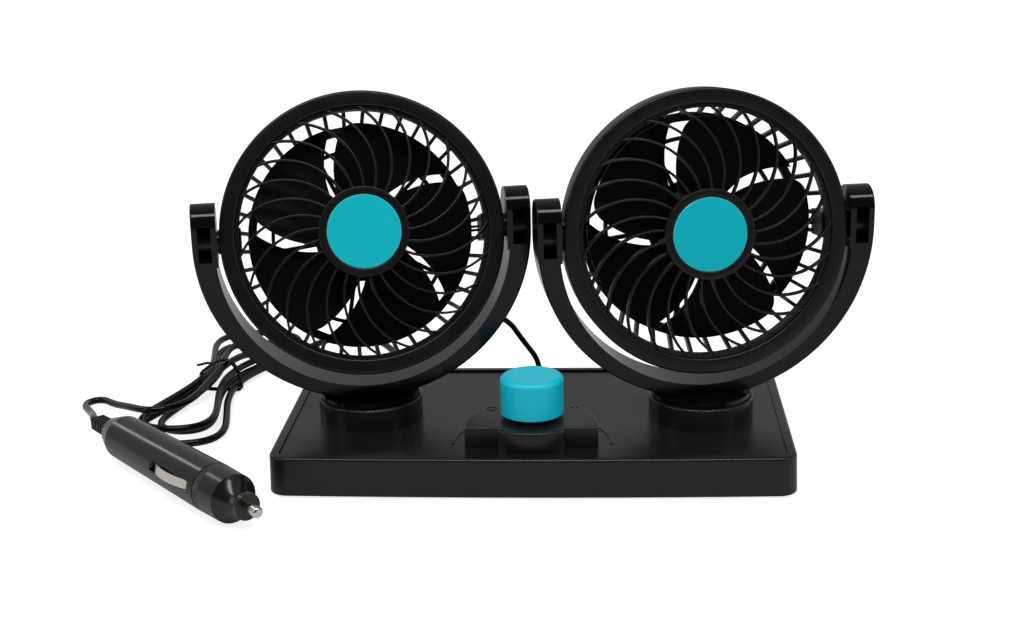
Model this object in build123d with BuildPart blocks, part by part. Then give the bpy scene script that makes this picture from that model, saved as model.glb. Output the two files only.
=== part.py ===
from build123d import *
import os
from math import atan, cos, degrees, hypot, pi, radians, sin, sqrt, tan

os.makedirs("parts", exist_ok=True)

# Car fan with two heads on one base. Millimetres, +Z up, +X to the viewer's right,
# -Y towards the viewer. The origin is the centre of the base's underside.

# Base
base_width = 222.0
base_depth = 114.0
base_height = 16.8
base_corner = 8.0
base_bow = 2.0
base_draft = 0.5
base_wall = 2.2
deck_thick = 2.6
edge_round = 1.4
border_width = 4.0
recess_depth = 0.9
recess_corner = 3.0
pad_thick = 1.0
pad_inset = 7.0
cover_thick = 2.4
cover_gap = 0.2
overrun = 1.0
end_play = 1.0

# Pedestals, which the yokes turn on
swivel_spacing = 147.2
swivel_y = -3.5
pedestal_radius = 23.0
pedestal_height = 10.2
pedestal_wall = 2.2
pedestal_round = 0.9
swivel_boss_radius = 10.0
swivel_boss_length = 8.3

# Turret under the speed knob
turret_radius = 28.3
turret_height = 9.4
turret_y = -38.8
turret_flat = 5.0
turret_wall = 2.2
turret_round = 1.0
nose_half_width = 14.0
nose_side = 3.0
nose_reach = 7.6
ring_line_radius = 34.6
ring_line_height = 0.35
ring_line_width = 1.2

# Speed knob and rotary switch
knob_y = -30.0
knob_radius = 13.6
knob_height = 16.3
knob_wall = 2.0
knob_round = 2.2
knob_dish_radius = 9.6
knob_dish_depth = 0.7
knob_lift = 2.3
knob_boss_radius = 5.0
knob_boss_gap = 1.4
shaft_radius = 3.0
shaft_flat = 0.9
shaft_reach = 11.0
switch_radius = 11.0
switch_height = 10.5
bush_radius = 4.6
bush_above = 1.9
nut_across = 12.0
nut_thick = 1.8
mark_height = 5.0
mark_width = 1.1
mark_gap = 1.2
mark_relief = 0.3
mark_radius = 20.0
mark_turns_deg = (155.0, 90.0, 25.0)

# Directions of the two heads at rest, turned to the viewer's right and tilted up
left_yaw_deg = 12.0
left_tilt_deg = 18.0
right_yaw_deg = 9.5
right_tilt_deg = 7.5

# Yokes
yoke_radius = 72.8
yoke_inner_radius = 63.3
yoke_inner_drop = 3.5
yoke_depth = 19.0
yoke_edge_round = 0.7
pivot_height = 101.0
arm_rise = 17.2
arm_inner = 62.2
pad_drop = 9.0
window_inner_wall = 2.5
window_width = 5.6
window_top = 9.4
window_bottom = 6.6
window_depth = 14.0
collar_radius = 21.8
collar_thick = 1.8
swivel_gap = 0.3
stem_radius = 6.0
running_gap = 0.05
fit_gap = 0.02
stem_play = 0.2
washer_radius = 9.4
washer_thick = 1.2
swivel_screw_radius = 1.9
swivel_screw_head = 4.2
swivel_screw_head_thick = 2.0
swivel_screw_reach = 9.0

# Heads, measured along the fan's axis from the tilt axis, forwards positive
ring_radius = 61.3
ring_inner = 54.6
ring_front = 8.0
ring_back = -1.5
ring_face_thick = 2.2
ring_wall = 2.0
ring_step_radius = 53.0
ring_step_drop = 1.4
ring_lip = 0.6
ring_lip_back = 0.8
ring_edge_round = 1.1
guard_hub_radius = 19.4
guard_hub_front = 14.6
guard_hub_thick = 3.6
guard_dome_thick = 2.8
rib_count = 25
rib_width = 1.1
rib_sweep_deg = 31.0
rib_mid_share = 0.62
rib_mid_sweep_share = 0.455
guard_bulge = 1.2
badge_radius = 16.6
badge_thick = 1.3
badge_recess = 1.5
badge_round = 0.35

# Rear cage
cage_rim_inner = 57.0
cage_rim_thick = 3.2
cage_spigot = 2.6
cage_back = -22.0
cage_back_thick = 2.6
cage_ring_outer = 49.6
cage_ring_inner = 45.8
cage_mid_ring = 39.4
cage_mid_ring_width = 1.7
slat_count = 40
slat_width = 1.6
slat_thick = 2.4
spoke_count = 10
spoke_width = 1.8
spoke_turn_deg = 7.0
holder_wall = 1.9
holder_front = -1.0
holder_front_thick = 2.0
holder_flange = 20.0

# Tilt trunnions
trunnion_radius = 5.2
pin_radius = 4.5
pin_end = 71.4
pin_bore = 2.2
boss_half_width = 5.6
boss_inner = 52.2
boss_front = 4.6
boss_reach = 15.8
neck_gap = 0.2
pad_gap = 0.2

# Motor
motor_radius = 12.2
motor_length = 21.4
motor_wall = 1.0
motor_cap_thick = 2.6
motor_gap = 0.1
motor_shaft_radius = 1.0
armature_radius = 9.4
armature_length = 13.0
motor_screw_radius = 1.25
motor_screw_head = 2.4
motor_screw_head_thick = 1.4
motor_screw_spread = 8.0
motor_cover_thick = 1.8
motor_cover_lap = 4.0
motor_cover_wall = 1.6
motor_cover_radius = 18.0
motor_cover_round = 1.2
motor_collar_radius = 3.0
motor_collar_height = 1.5
shaft_length = 30.0
armature_front = -5.5

# Impeller
blade_count = 5
blade_tip_radius = 48.6
hub_radius = 18.6
hub_front = 9.0
hub_back = -9.0
hub_wall = 1.8
hub_boss_radius = 3.6
hub_boss_length = 6.4
blade_thick = 1.5
blade_depth = 16.0
blade_half_span = 36.0
blade_centre = -4.5
blade_camber = 2.2
blade_corner = 9.0
blade_gap_root_deg = 8.0
blade_gap_tip_deg = 6.5
blade_sweep_deg = 25.0
blade_turn_deg = 52.0
blade_root_sink = 0.6

# Wires inside the heads
wire_radius = 0.6
wire_step = 0.8
wire_bend = 1.0
wire_slot_width = 4.0
wire_slot_length = 6.0
wire_route = ((52.2, -13.0), (50.0, -13.0), (48.4, -18.6), (12.3, -18.6))

# Fixings in the base
cover_screw_radius = 1.3
cover_screw_head = 2.6
cover_screw_head_thick = 1.4
cover_screw_reach = 8.0
cover_boss_radius = 3.4
cover_screw_x = 96.0
cover_screw_y = 42.0

# Resistor on the base's cover
resistor_length = 24.0
resistor_width = 7.0
resistor_height = 6.5
resistor_chamfer = 0.6
resistor_x = 38.0
resistor_y = 26.0

# Left head's lead
lead_diameter = 2.5
lead_angle_deg = -36.0
lead_depth = -4.0
gland_radius = 2.6
gland_length = 2.4
gland_seat = 2.0
lead_hole_x = 1.5
lead_hole_y = 25.0
right_hole_x = 92.0
right_hole_y = 36.0
grommet_radius = 3.4
grommet_lift = 1.4
grommet_groove = 0.8
lead_route = [(-8.0, 16.8, 48.0), (-4.3, 19.7, 41.5), (-1.0, 22.5, 36.0), (0.8, 24.4, 30.6),
              (1.5, 25.0, 24.3)]
lead_first_run = 5.0

# Power cord, its hank and the twist tie
cord_diameter = 3.4
exit_x = -70.0
exit_height = 9.6
relief_radius = 4.2
relief_length = 18.0
relief_flange = 5.4
relief_flange_thick = 1.6
relief_tip = 2.5
hank_x = -162.0
hank_y = 74.0
hank_turn_deg = 7.0
hank_start_turns = -0.125
hank_end_turns = 2.875
hank_reverse_turns = 1.5
hank_half_length = 56.0
hank_swell = 22.0
hank_swell_step = 19.0
hank_length_step = 16.0
hank_waist = 2.4
hank_step = 4.3
hank_layer = 4.0
hank_spans = 8
hank_lift_power = 8
hank_samples = 900
heading_step = 0.0001
corner_share = 0.45
tie_radius = 0.65
tie_tail = 15.0
tie_tail_slope = 0.2
tie_bend = 2.4
tie_lift = 1.9
tie_outline = ((-9.4, 0.85), (11.6, 0.85), (11.6, 8.6), (6.6, 16.2), (-0.4, 16.2), (-9.4, 9.6))
tie_tail_height = 9.6
lead_in_route = [(-70.0, 75.5, 9.6), (-70.0, 86.5, 9.6), (-71.2, 98.5, 7.4), (-73.8, 110.0, 4.2),
                 (-77.6, 121.0, 2.0), (-82.4, 132.0, 1.7), (-88.2, 142.6, 1.7), (-96.2, 151.2, 1.7),
                 (-106.4, 154.8, 1.7), (-116.6, 151.6, 1.7)]
lead_out_route = [(-144.6, 102.8, 9.6), (-151.4, 91.4, 13.2), (-156.2, 79.4, 13.8),
                  (-159.6, 68.0, 13.0), (-161.6, 57.6, 12.0), (-162.8, 47.4, 11.3),
                  (-164.2, 37.2, 10.8), (-167.8, 27.6, 10.5), (-174.6, 20.4, 10.4),
                  (-183.8, 19.4, 10.2), (-191.4, 25.4, 9.2), (-197.8, 33.2, 7.2),
                  (-203.8, 40.2, 5.2), (-209.0, 46.6, 3.9), (-212.8, 51.6, 3.2),
                  (-217.2, 53.4, 2.8), (-220.6, 50.4, 2.9), (-221.0, 45.0, 3.5),
                  (-218.8, 38.6, 4.4), (-214.8, 31.2, 5.6), (-210.6, 22.6, 7.2),
                  (-207.1, 14.0, 9.3), (-204.6, 6.26, 10.8)]
hank_run = 12.0

# Plug for a 12 V outlet
plug_x = -201.5
plug_y = 3.0
plug_dir_x = 0.6895
plug_dir_y = -0.7243
boot_length = 16.5
boot_rear_width = 7.2
boot_front_width = 8.4
boot_thick = 5.8
boot_grooves = 5
boot_groove_depth = 0.5
boot_groove_width = 1.2
shoulder_length = 9.5
plug_rear_radius = 9.9
plug_seam_radius = 10.8
plug_body_length = 77.2
plug_bore = 7.4
nose_land = 15.4
nose_land_radius = 10.5
nose_length = 9.0
nose_collar_radius = 5.8
nose_collar_length = 2.0
tip_radius = 2.4
tip_out = 8.4
tip_round = 1.4
tip_head_radius = 4.4
nose_bore = 5.0
nose_front_wall = 7.6
body_bore_depth = 21.0
tip_head_length = 2.2
fuse_radius = 3.1
fuse_length = 26.0
spring_radius = 3.0
spring_wire = 0.5
spring_turns = 6
contact_width = 4.0
contact_thick = 0.5
contact_length = 30.0
contact_slot_ends = 0.8
contact_turn_deg = 12.0
contact_bow = 1.3
nose_hollow = 1.3
nose_collar_step = 0.9
contact_slot_depth = 2.0
contact_start = 5.0

deck = pad_thick + base_height
floor_of_recess = deck - recess_depth
pedestal_top = floor_of_recess + pedestal_height
turret_top = floor_of_recess + turret_height
collar_bottom = pedestal_top + swivel_gap
cord_radius = cord_diameter / 2
stem_bottom = pedestal_top - swivel_boss_length - stem_play


def bowed_outline(inset, corner):
    """Base outline whose front edge bows forwards, drawn in by the inset."""
    half_width = base_width / 2 - inset
    half_depth = base_depth / 2 - inset
    with BuildSketch() as outline:
        with BuildLine():
            Polyline((-half_width, -half_depth), (-half_width, half_depth),
                     (half_width, half_depth), (half_width, -half_depth))
            ThreePointArc((half_width, -half_depth), (0, -half_depth - base_bow),
                          (-half_width, -half_depth))
        make_face()
        fillet(outline.vertices(), corner)
    return outline.sketch


def turret_outline(inset):
    """Plan of the turret: a half round, a flat front and a rounded nose."""
    radius = turret_radius - inset
    flat_y = turret_y - turret_flat + inset
    nose = nose_half_width - inset
    side_y = flat_y - nose_side
    with BuildSketch() as outline:
        with BuildLine():
            ThreePointArc((-radius, turret_y), (0, turret_y + radius), (radius, turret_y))
            Polyline((radius, turret_y), (radius, flat_y), (nose, flat_y), (nose, side_y))
            ThreePointArc((nose, side_y), (0, flat_y - nose_reach), (-nose, side_y))
            Polyline((-nose, side_y), (-nose, flat_y), (-radius, flat_y), (-radius, turret_y))
        make_face()
    return outline.sketch


swivel_points = [(-swivel_spacing / 2, swivel_y), (swivel_spacing / 2, swivel_y)]
screw_points = [(x, y) for x in (-cover_screw_x, 0, cover_screw_x)
                for y in (-cover_screw_y, cover_screw_y) if x or y > 0]
cover_top = pad_thick + cover_thick

# Base housing
with BuildPart() as base_housing:
    with BuildSketch(Plane.XY.offset(deck)):
        add(bowed_outline(0, base_corner))
    extrude(amount=-base_height, taper=-degrees(atan(base_draft / base_height)))
    fillet(base_housing.faces().sort_by(Axis.Z)[-1].edges(), edge_round)
    with BuildSketch(Plane.XY.offset(deck)):
        add(bowed_outline(border_width, recess_corner))
    extrude(amount=-recess_depth, mode=Mode.SUBTRACT)
    with BuildSketch(Plane.XY.offset(pad_thick)):
        add(bowed_outline(base_wall, base_corner - base_wall))
    extrude(amount=base_height - deck_thick, mode=Mode.SUBTRACT)
    with BuildSketch(Plane.XY.offset(floor_of_recess)):
        with Locations(*swivel_points):
            Circle(pedestal_radius)
    extrude(amount=pedestal_height)
    rims = base_housing.edges().filter_by(GeomType.CIRCLE)
    fillet(rims.filter_by_position(Axis.Z, pedestal_top - fit_gap, pedestal_top + fit_gap),
           pedestal_round)
    with BuildSketch(Plane.XY.offset(floor_of_recess)):
        add(turret_outline(0))
    extrude(amount=turret_height)
    turret_rims = base_housing.faces().filter_by(Plane.XY).filter_by_position(
        Axis.Z, turret_top - fit_gap, turret_top + fit_gap).edges()
    fillet(turret_rims, turret_round)
    with BuildSketch(Plane.XY.offset(floor_of_recess)):
        with BuildLine():
            CenterArc((0, turret_y), ring_line_radius, 0, 180)
            Line((-ring_line_radius, turret_y), (ring_line_radius, turret_y))
        make_face()
        with BuildLine():
            CenterArc((0, turret_y), ring_line_radius - ring_line_width, 0, 180)
            Line((ring_line_width - ring_line_radius, turret_y),
                 (ring_line_radius - ring_line_width, turret_y))
        make_face(mode=Mode.SUBTRACT)
    extrude(amount=ring_line_height)
    # Hollow insides of the pedestals and the turret
    with BuildSketch(Plane.XY.offset(pedestal_top - deck_thick)):
        with Locations(*swivel_points):
            Circle(pedestal_radius - pedestal_wall)
    extrude(amount=-pedestal_height - recess_depth, mode=Mode.SUBTRACT)
    with BuildSketch(Plane.XY.offset(turret_top - deck_thick)):
        add(turret_outline(turret_wall))
    extrude(amount=-turret_height - recess_depth, mode=Mode.SUBTRACT)
    with BuildSketch(Plane.XY.offset(pedestal_top - fit_gap)):
        with Locations(*swivel_points):
            Circle(swivel_boss_radius)
    extrude(amount=-swivel_boss_length + fit_gap)
    with BuildSketch(Plane.XY.offset(pedestal_top)):
        with Locations(*swivel_points):
            Circle(stem_radius + running_gap)
    extrude(amount=-swivel_boss_length - overrun, mode=Mode.SUBTRACT)
    # Screw bosses for the cover
    with BuildSketch(Plane.XY.offset(cover_top)):
        with Locations(*screw_points):
            Circle(cover_boss_radius)
    extrude(amount=deck - deck_thick - cover_top)
    with BuildSketch(Plane.XY.offset(cover_top)):
        with Locations(*screw_points):
            Circle(cover_screw_radius + running_gap)
    extrude(amount=cover_screw_reach, mode=Mode.SUBTRACT)
    # Holes: switch bush, lead grommets and the power cord
    with BuildSketch(Plane.XY.offset(turret_top)):
        with Locations((0, knob_y)):
            Circle(bush_radius + running_gap)
    extrude(amount=-deck_thick, mode=Mode.SUBTRACT)
    with BuildSketch(Plane.XY.offset(floor_of_recess + overrun)):
        with Locations((lead_hole_x, lead_hole_y), (right_hole_x, right_hole_y)):
            Circle(grommet_radius - grommet_groove + running_gap)
    extrude(amount=-deck_thick - overrun, mode=Mode.SUBTRACT)
    with BuildSketch(Plane((exit_x, base_depth / 2 + overrun, exit_height), (1, 0, 0), (0, 1, 0))):
        Circle(relief_radius + running_gap)
    extrude(amount=-base_wall - 2 * overrun, mode=Mode.SUBTRACT)
    # Marks of the three speeds round the knob: a ring, one bar and two bars
    for turn, bars in zip(mark_turns_deg, (0, 1, 2)):
        spot = (mark_radius * cos(radians(turn)), knob_y + mark_radius * sin(radians(turn)))
        with BuildSketch(Plane.XY.offset(turret_top)):
            if bars:
                with Locations(spot):
                    with GridLocations(mark_gap + mark_width, 0, bars, 1):
                        Rectangle(mark_width, mark_height)
            else:
                with Locations(spot):
                    Circle(mark_height / 2)
                    Circle(mark_height / 2 - mark_width, mode=Mode.SUBTRACT)
        extrude(amount=-mark_relief, mode=Mode.SUBTRACT)
base_housing.part.label = "base_housing"
export_step(base_housing.part, "parts/base_housing.step")

# Cover that closes the base from below
cover_inset = base_wall + cover_gap
with BuildPart() as base_cover:
    with BuildSketch(Plane.XY.offset(pad_thick)):
        add(bowed_outline(cover_inset, base_corner - base_wall))
    extrude(amount=cover_thick)
    with BuildSketch(Plane.XY.offset(pad_thick)):
        with Locations(*screw_points):
            Circle(cover_screw_head + running_gap)
    extrude(amount=cover_screw_head_thick, mode=Mode.SUBTRACT)
    with BuildSketch(Plane.XY.offset(pad_thick)):
        with Locations(*screw_points):
            Circle(cover_screw_radius + running_gap)
    extrude(amount=cover_thick, mode=Mode.SUBTRACT)
base_cover.part.label = "base_cover"
export_step(base_cover.part, "parts/base_cover.step")

with BuildPart() as cover_screws:
    with BuildSketch(Plane.XY.offset(pad_thick)):
        with Locations(*screw_points):
            Circle(cover_screw_head)
    extrude(amount=cover_screw_head_thick)
    with BuildSketch(Plane.XY.offset(pad_thick)):
        with Locations(*screw_points):
            Circle(cover_screw_radius)
    extrude(amount=cover_thick + cover_screw_reach - end_play)
cover_screws.part.label = "cover_screws"
export_step(cover_screws.part, "parts/cover_screws.step")

with BuildPart() as grip_pad:
    with BuildSketch():
        add(bowed_outline(pad_inset, base_corner))
    extrude(amount=pad_thick)
grip_pad.part.label = "grip_pad"
export_step(grip_pad.part, "parts/grip_pad.step")

# Rotary switch, its nut, shaft and knob
knob_bottom = turret_top + knob_lift
knob_top = knob_bottom + knob_height
knob_centre = (0, knob_y)
switch_top = turret_top - deck_thick
with BuildPart() as rotary_switch:
    with BuildSketch(Plane.XY.offset(switch_top)):
        with Locations(knob_centre):
            Circle(switch_radius)
    extrude(amount=-switch_height)
    with BuildSketch(Plane.XY.offset(switch_top)):
        with Locations(knob_centre):
            Circle(bush_radius)
    extrude(amount=deck_thick + bush_above)
    with BuildSketch(Plane.XY.offset(turret_top + bush_above)):
        with Locations(knob_centre):
            Circle(shaft_radius + running_gap)
    extrude(amount=-deck_thick - bush_above - switch_height / 2, mode=Mode.SUBTRACT)
rotary_switch.part.label = "rotary_switch"
export_step(rotary_switch.part, "parts/rotary_switch.step")

with BuildPart() as switch_nut:
    with BuildSketch(Plane.XY.offset(turret_top)):
        with Locations(knob_centre):
            RegularPolygon(nut_across / 2, 6, major_radius=False)
            Circle(bush_radius + fit_gap, mode=Mode.SUBTRACT)
    extrude(amount=nut_thick)
switch_nut.part.label = "switch_nut"
export_step(switch_nut.part, "parts/switch_nut.step")

shaft_bottom = switch_top - switch_height / 2 + end_play
shaft_top = turret_top + bush_above + shaft_reach
with BuildPart() as switch_shaft:
    with BuildSketch(Plane.XY.offset(shaft_bottom)):
        with Locations(knob_centre):
            Circle(shaft_radius)
    extrude(amount=shaft_top - shaft_bottom)
    with BuildSketch(Plane.XY.offset(turret_top + bush_above)):
        with Locations((0, knob_y - 2 * shaft_radius + shaft_flat)):
            Rectangle(2 * shaft_radius, 2 * shaft_radius)
    extrude(amount=shaft_reach, mode=Mode.SUBTRACT)
switch_shaft.part.label = "switch_shaft"
export_step(switch_shaft.part, "parts/switch_shaft.step")

with BuildPart() as speed_knob:
    with BuildSketch(Plane.XY.offset(knob_bottom)):
        with Locations(knob_centre):
            Circle(knob_radius)
    extrude(amount=knob_height)
    fillet(speed_knob.edges().sort_by(Axis.Z)[-1], knob_round)
    dish_rise = (knob_dish_radius ** 2 - knob_dish_depth ** 2) / (2 * knob_dish_depth)
    with Locations((0, knob_y, knob_top + dish_rise)):
        Sphere(dish_rise + knob_dish_depth, mode=Mode.SUBTRACT)
    with BuildSketch(Plane.XY.offset(knob_bottom)):
        with Locations(knob_centre):
            Circle(knob_radius - knob_wall)
    extrude(amount=knob_height - knob_wall - knob_dish_depth, mode=Mode.SUBTRACT)
    with BuildSketch(Plane.XY.offset(turret_top + bush_above + knob_boss_gap)):
        with Locations(knob_centre):
            Circle(knob_boss_radius)
    extrude(until=Until.NEXT)
    with BuildSketch(Plane.XY.offset(turret_top + bush_above + knob_boss_gap)):
        with Locations(knob_centre):
            Circle(shaft_radius + fit_gap)
        with Locations((0, knob_y - 2 * shaft_radius + shaft_flat - fit_gap)):
            Rectangle(3 * shaft_radius, 2 * shaft_radius, mode=Mode.SUBTRACT)
    extrude(amount=shaft_reach - knob_boss_gap, mode=Mode.SUBTRACT)
speed_knob.part.label = "speed_knob"
export_step(speed_knob.part, "parts/speed_knob.step")

# Resistor for the low speed
with BuildPart() as speed_resistor:
    with BuildSketch(Plane.XY.offset(cover_top)):
        with Locations((resistor_x, resistor_y)):
            Rectangle(resistor_length, resistor_width)
    extrude(amount=resistor_height)
    chamfer(speed_resistor.faces().sort_by(Axis.Z)[-1].edges(), resistor_chamfer)
speed_resistor.part.label = "speed_resistor"
export_step(speed_resistor.part, "parts/speed_resistor.step")

# Grommets where the leads enter the base
with BuildPart() as lead_grommets:
    for spot in ((lead_hole_x, lead_hole_y), (right_hole_x, right_hole_y)):
        with BuildSketch(Plane((*spot, floor_of_recess), (1, 0, 0), (0, -1, 0))):
            with BuildLine():
                Polyline((lead_diameter / 2 + fit_gap, -deck_thick),
                         (grommet_radius - grommet_groove, -deck_thick),
                         (grommet_radius - grommet_groove, 0), (grommet_radius, 0),
                         (grommet_radius - grommet_groove, grommet_lift),
                         (lead_diameter / 2 + fit_gap, grommet_lift), close=True)
            make_face()
        revolve(axis=Axis((*spot, 0), (0, 0, 1)))
lead_grommets.part.label = "lead_grommets"
export_step(lead_grommets.part, "parts/lead_grommets.step")

sides = (("left", -swivel_spacing / 2, left_yaw_deg, left_tilt_deg),
         ("right", swivel_spacing / 2, right_yaw_deg, right_tilt_deg))


def heading(yaw):
    """Direction across a head, and the direction that its yoke faces."""
    turn = radians(yaw)
    return Vector(cos(turn), sin(turn), 0), Vector(sin(turn), -cos(turn), 0)


def yoke_front(x, yaw):
    """Upright plane across a yoke through its tilt axis, facing forwards."""
    across, ahead = heading(yaw)
    return Plane((x, swivel_y, pivot_height), across, ahead)


def head_front(x, yaw, tilt):
    """Plane across a head through its tilt axis, square to the fan's axis."""
    across, ahead = heading(yaw)
    turn = radians(tilt)
    return Plane((x, swivel_y, pivot_height), across, ahead * cos(turn) + Vector(0, 0, sin(turn)))


def turned(plane, angle):
    """The plane turned about its own normal."""
    turn = radians(angle)
    return Plane(plane.origin, plane.x_dir * cos(turn) + plane.y_dir * sin(turn), plane.z_dir)


def half_section(front):
    """Plane for profiles that are revolved about the fan's axis, Y along that axis."""
    return Plane(front.origin, front.x_dir, -front.y_dir)


def end_on(front, way):
    """Plane square to the tilt axis, facing out of the head on one side."""
    return Plane(front.origin, front.z_dir * -way, front.x_dir * way)


def fan_axis(front):
    return Axis(front.origin, front.z_dir)


def polar(radius, angle):
    return Vector(radius * cos(radians(angle)), radius * sin(radians(angle)))


def rib_outline(root, tip):
    """One curved rib of the front guard."""
    middle = root + rib_mid_share * (tip - root)
    points = [polar(root, 0), polar(middle, rib_sweep_deg * rib_mid_sweep_share),
              polar(tip, rib_sweep_deg)]
    spine = ThreePointArc(*points, mode=Mode.PRIVATE)
    centre = spine.arc_center
    near, far = [[centre + (point - centre) * (spine.radius + offset) / spine.radius
                  for point in points] for offset in (-rib_width / 2, rib_width / 2)]
    with BuildSketch() as outline:
        with BuildLine():
            ThreePointArc(*near)
            Line(near[2], far[2])
            ThreePointArc(*far)
            Line(far[0], near[0])
        make_face()
    return outline.sketch


def blade_edge(radius, side):
    """Angle of a blade's edge: the gap's swept middle and half its width to one side."""
    share = (radius - hub_radius) / (blade_tip_radius - hub_radius)
    gap = blade_gap_root_deg + share * (blade_gap_tip_deg - blade_gap_root_deg)
    return blade_turn_deg - share * blade_sweep_deg + side * gap / 2


def blade_outline():
    """Plan of the blade on the clockwise side of the first gap, its trailing corner rounded."""
    root = hub_radius - blade_root_sink
    middle = (root + blade_tip_radius) / 2
    pitch = 360 / blade_count
    radii = (root, middle, blade_tip_radius)
    trailing = [polar(radius, blade_edge(radius, -1)) for radius in radii]
    leading = [polar(radius, blade_edge(radius, 1) - pitch) for radius in radii]
    outer_turn = (blade_edge(blade_tip_radius, -1) + blade_edge(blade_tip_radius, 1) - pitch) / 2
    inner_turn = (blade_edge(root, -1) + blade_edge(root, 1) - pitch) / 2
    with BuildSketch() as outline:
        with BuildLine():
            ThreePointArc(*trailing)
            ThreePointArc(trailing[2], polar(blade_tip_radius, outer_turn), leading[2])
            ThreePointArc(*leading)
            ThreePointArc(leading[0], polar(root, inner_turn), trailing[0])
        make_face()
        fillet(outline.vertices().sort_by_distance(trailing[2])[0], blade_corner)
    return outline.sketch


def save(solid, name):
    solid.label = name
    export_step(solid, "parts/" + name + ".step")


def build_yoke(side, x, yaw):
    front = yoke_front(x, yaw)
    step_x = sqrt(yoke_inner_radius ** 2 - (pad_drop - yoke_inner_drop) ** 2)
    inner_bottom = -yoke_inner_drop - yoke_inner_radius
    with BuildPart() as yoke:
        with BuildSketch(front):
            with BuildLine():
                Line((-yoke_radius, arm_rise), (-yoke_radius, 0))
                ThreePointArc((-yoke_radius, 0), (0, -yoke_radius), (yoke_radius, 0))
                Polyline((yoke_radius, 0), (yoke_radius, arm_rise), (arm_inner, arm_rise),
                         (arm_inner, -pad_drop), (step_x, -pad_drop))
                ThreePointArc((step_x, -pad_drop), (0, inner_bottom), (-step_x, -pad_drop))
                Polyline((-step_x, -pad_drop), (-arm_inner, -pad_drop), (-arm_inner, arm_rise),
                         (-yoke_radius, arm_rise))
            make_face()
        extrude(amount=yoke_depth / 2, both=True)
        with BuildSketch(end_on(front, 1)):
            with BuildLine():
                Polyline((-yoke_depth / 2, arm_rise - yoke_depth / 2), (-yoke_depth / 2, -yoke_radius),
                         (yoke_depth / 2, -yoke_radius), (yoke_depth / 2, arm_rise - yoke_depth / 2))
                ThreePointArc((yoke_depth / 2, arm_rise - yoke_depth / 2), (0, arm_rise),
                              (-yoke_depth / 2, arm_rise - yoke_depth / 2))
            make_face()
        extrude(amount=yoke_radius + overrun, both=True, mode=Mode.INTERSECT)
        fillet(yoke.edges().filter_by(lambda edge: on_outer_rim(edge, front)), yoke_edge_round)
        with BuildSketch(Plane.XY.offset(collar_bottom)):
            with Locations((x, swivel_y)):
                Circle(collar_radius)
        extrude(amount=collar_thick)
        with BuildSketch(Plane.XY.offset(collar_bottom)):
            with Locations((x, swivel_y)):
                Circle(stem_radius)
        extrude(amount=stem_bottom - collar_bottom)
        with BuildSketch(Plane.XY.offset(stem_bottom)):
            with Locations((x, swivel_y)):
                Circle(swivel_screw_radius + fit_gap)
        extrude(amount=swivel_screw_reach, mode=Mode.SUBTRACT)
        # Windows in the arms and bores for the pins of the head
        window_x = arm_inner + window_inner_wall + window_width / 2
        with BuildSketch(front.offset(yoke_depth / 2)):
            with Locations((-window_x, (window_top - window_bottom) / 2),
                           (window_x, (window_top - window_bottom) / 2)):
                Rectangle(window_width, window_top + window_bottom)
        extrude(amount=-window_depth, mode=Mode.SUBTRACT)
        for way in (-1, 1):
            with BuildSketch(end_on(front, way).offset(arm_inner - overrun)):
                Circle(pin_radius + running_gap)
            extrude(amount=pin_end + fit_gap - arm_inner + overrun, mode=Mode.SUBTRACT)
        # Seat of the lead's gland
        with BuildSketch(gland_plane(x, yaw)):
            Circle(gland_radius)
        extrude(amount=-gland_seat, mode=Mode.SUBTRACT)
    save(yoke.part, side + "_yoke")


def on_outer_rim(edge, front):
    """Whether an edge lies on the outer face of a yoke."""
    spots = [front.to_local_coords(edge @ share) for share in (0, 1)]
    reach = [hypot(spot.X, min(spot.Y, 0)) for spot in spots]
    return min(reach) > yoke_radius - fit_gap


def gland_plane(x, yaw):
    """Plane on the yoke's outer face where the head's lead leaves the arm."""
    across, ahead = heading(yaw)
    turn = radians(lead_angle_deg)
    outwards = across * cos(turn) + Vector(0, 0, sin(turn))
    spot = Vector(x, swivel_y, pivot_height) + outwards * yoke_radius + ahead * lead_depth
    return Plane(spot, ahead, outwards)


def build_gland(side, x, yaw):
    seat = gland_plane(x, yaw)
    with BuildPart() as gland:
        with BuildSketch(seat.offset(-gland_seat)):
            Circle(gland_radius)
        extrude(amount=gland_seat + gland_length)
        chamfer(gland.edges().filter_by(GeomType.CIRCLE).sort_by(lambda edge: -seat.to_local_coords(
            edge.center()).Z)[0], grommet_groove)
    save(gland.part, side + "_lead_gland")


def build_swivel_fixing(side, x):
    with BuildPart() as washer:
        with BuildSketch(Plane.XY.offset(stem_bottom)):
            with Locations((x, swivel_y)):
                Circle(washer_radius)
                Circle(swivel_screw_radius + running_gap, mode=Mode.SUBTRACT)
        extrude(amount=-washer_thick)
    save(washer.part, side + "_swivel_washer")
    with BuildPart() as screw:
        with BuildSketch(Plane.XY.offset(stem_bottom - washer_thick)):
            with Locations((x, swivel_y)):
                Circle(swivel_screw_head)
        extrude(amount=-swivel_screw_head_thick)
        with BuildSketch(Plane.XY.offset(stem_bottom - washer_thick)):
            with Locations((x, swivel_y)):
                Circle(swivel_screw_radius)
        extrude(amount=washer_thick + swivel_screw_reach - end_play)
    save(screw.part, side + "_swivel_screw")


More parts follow.
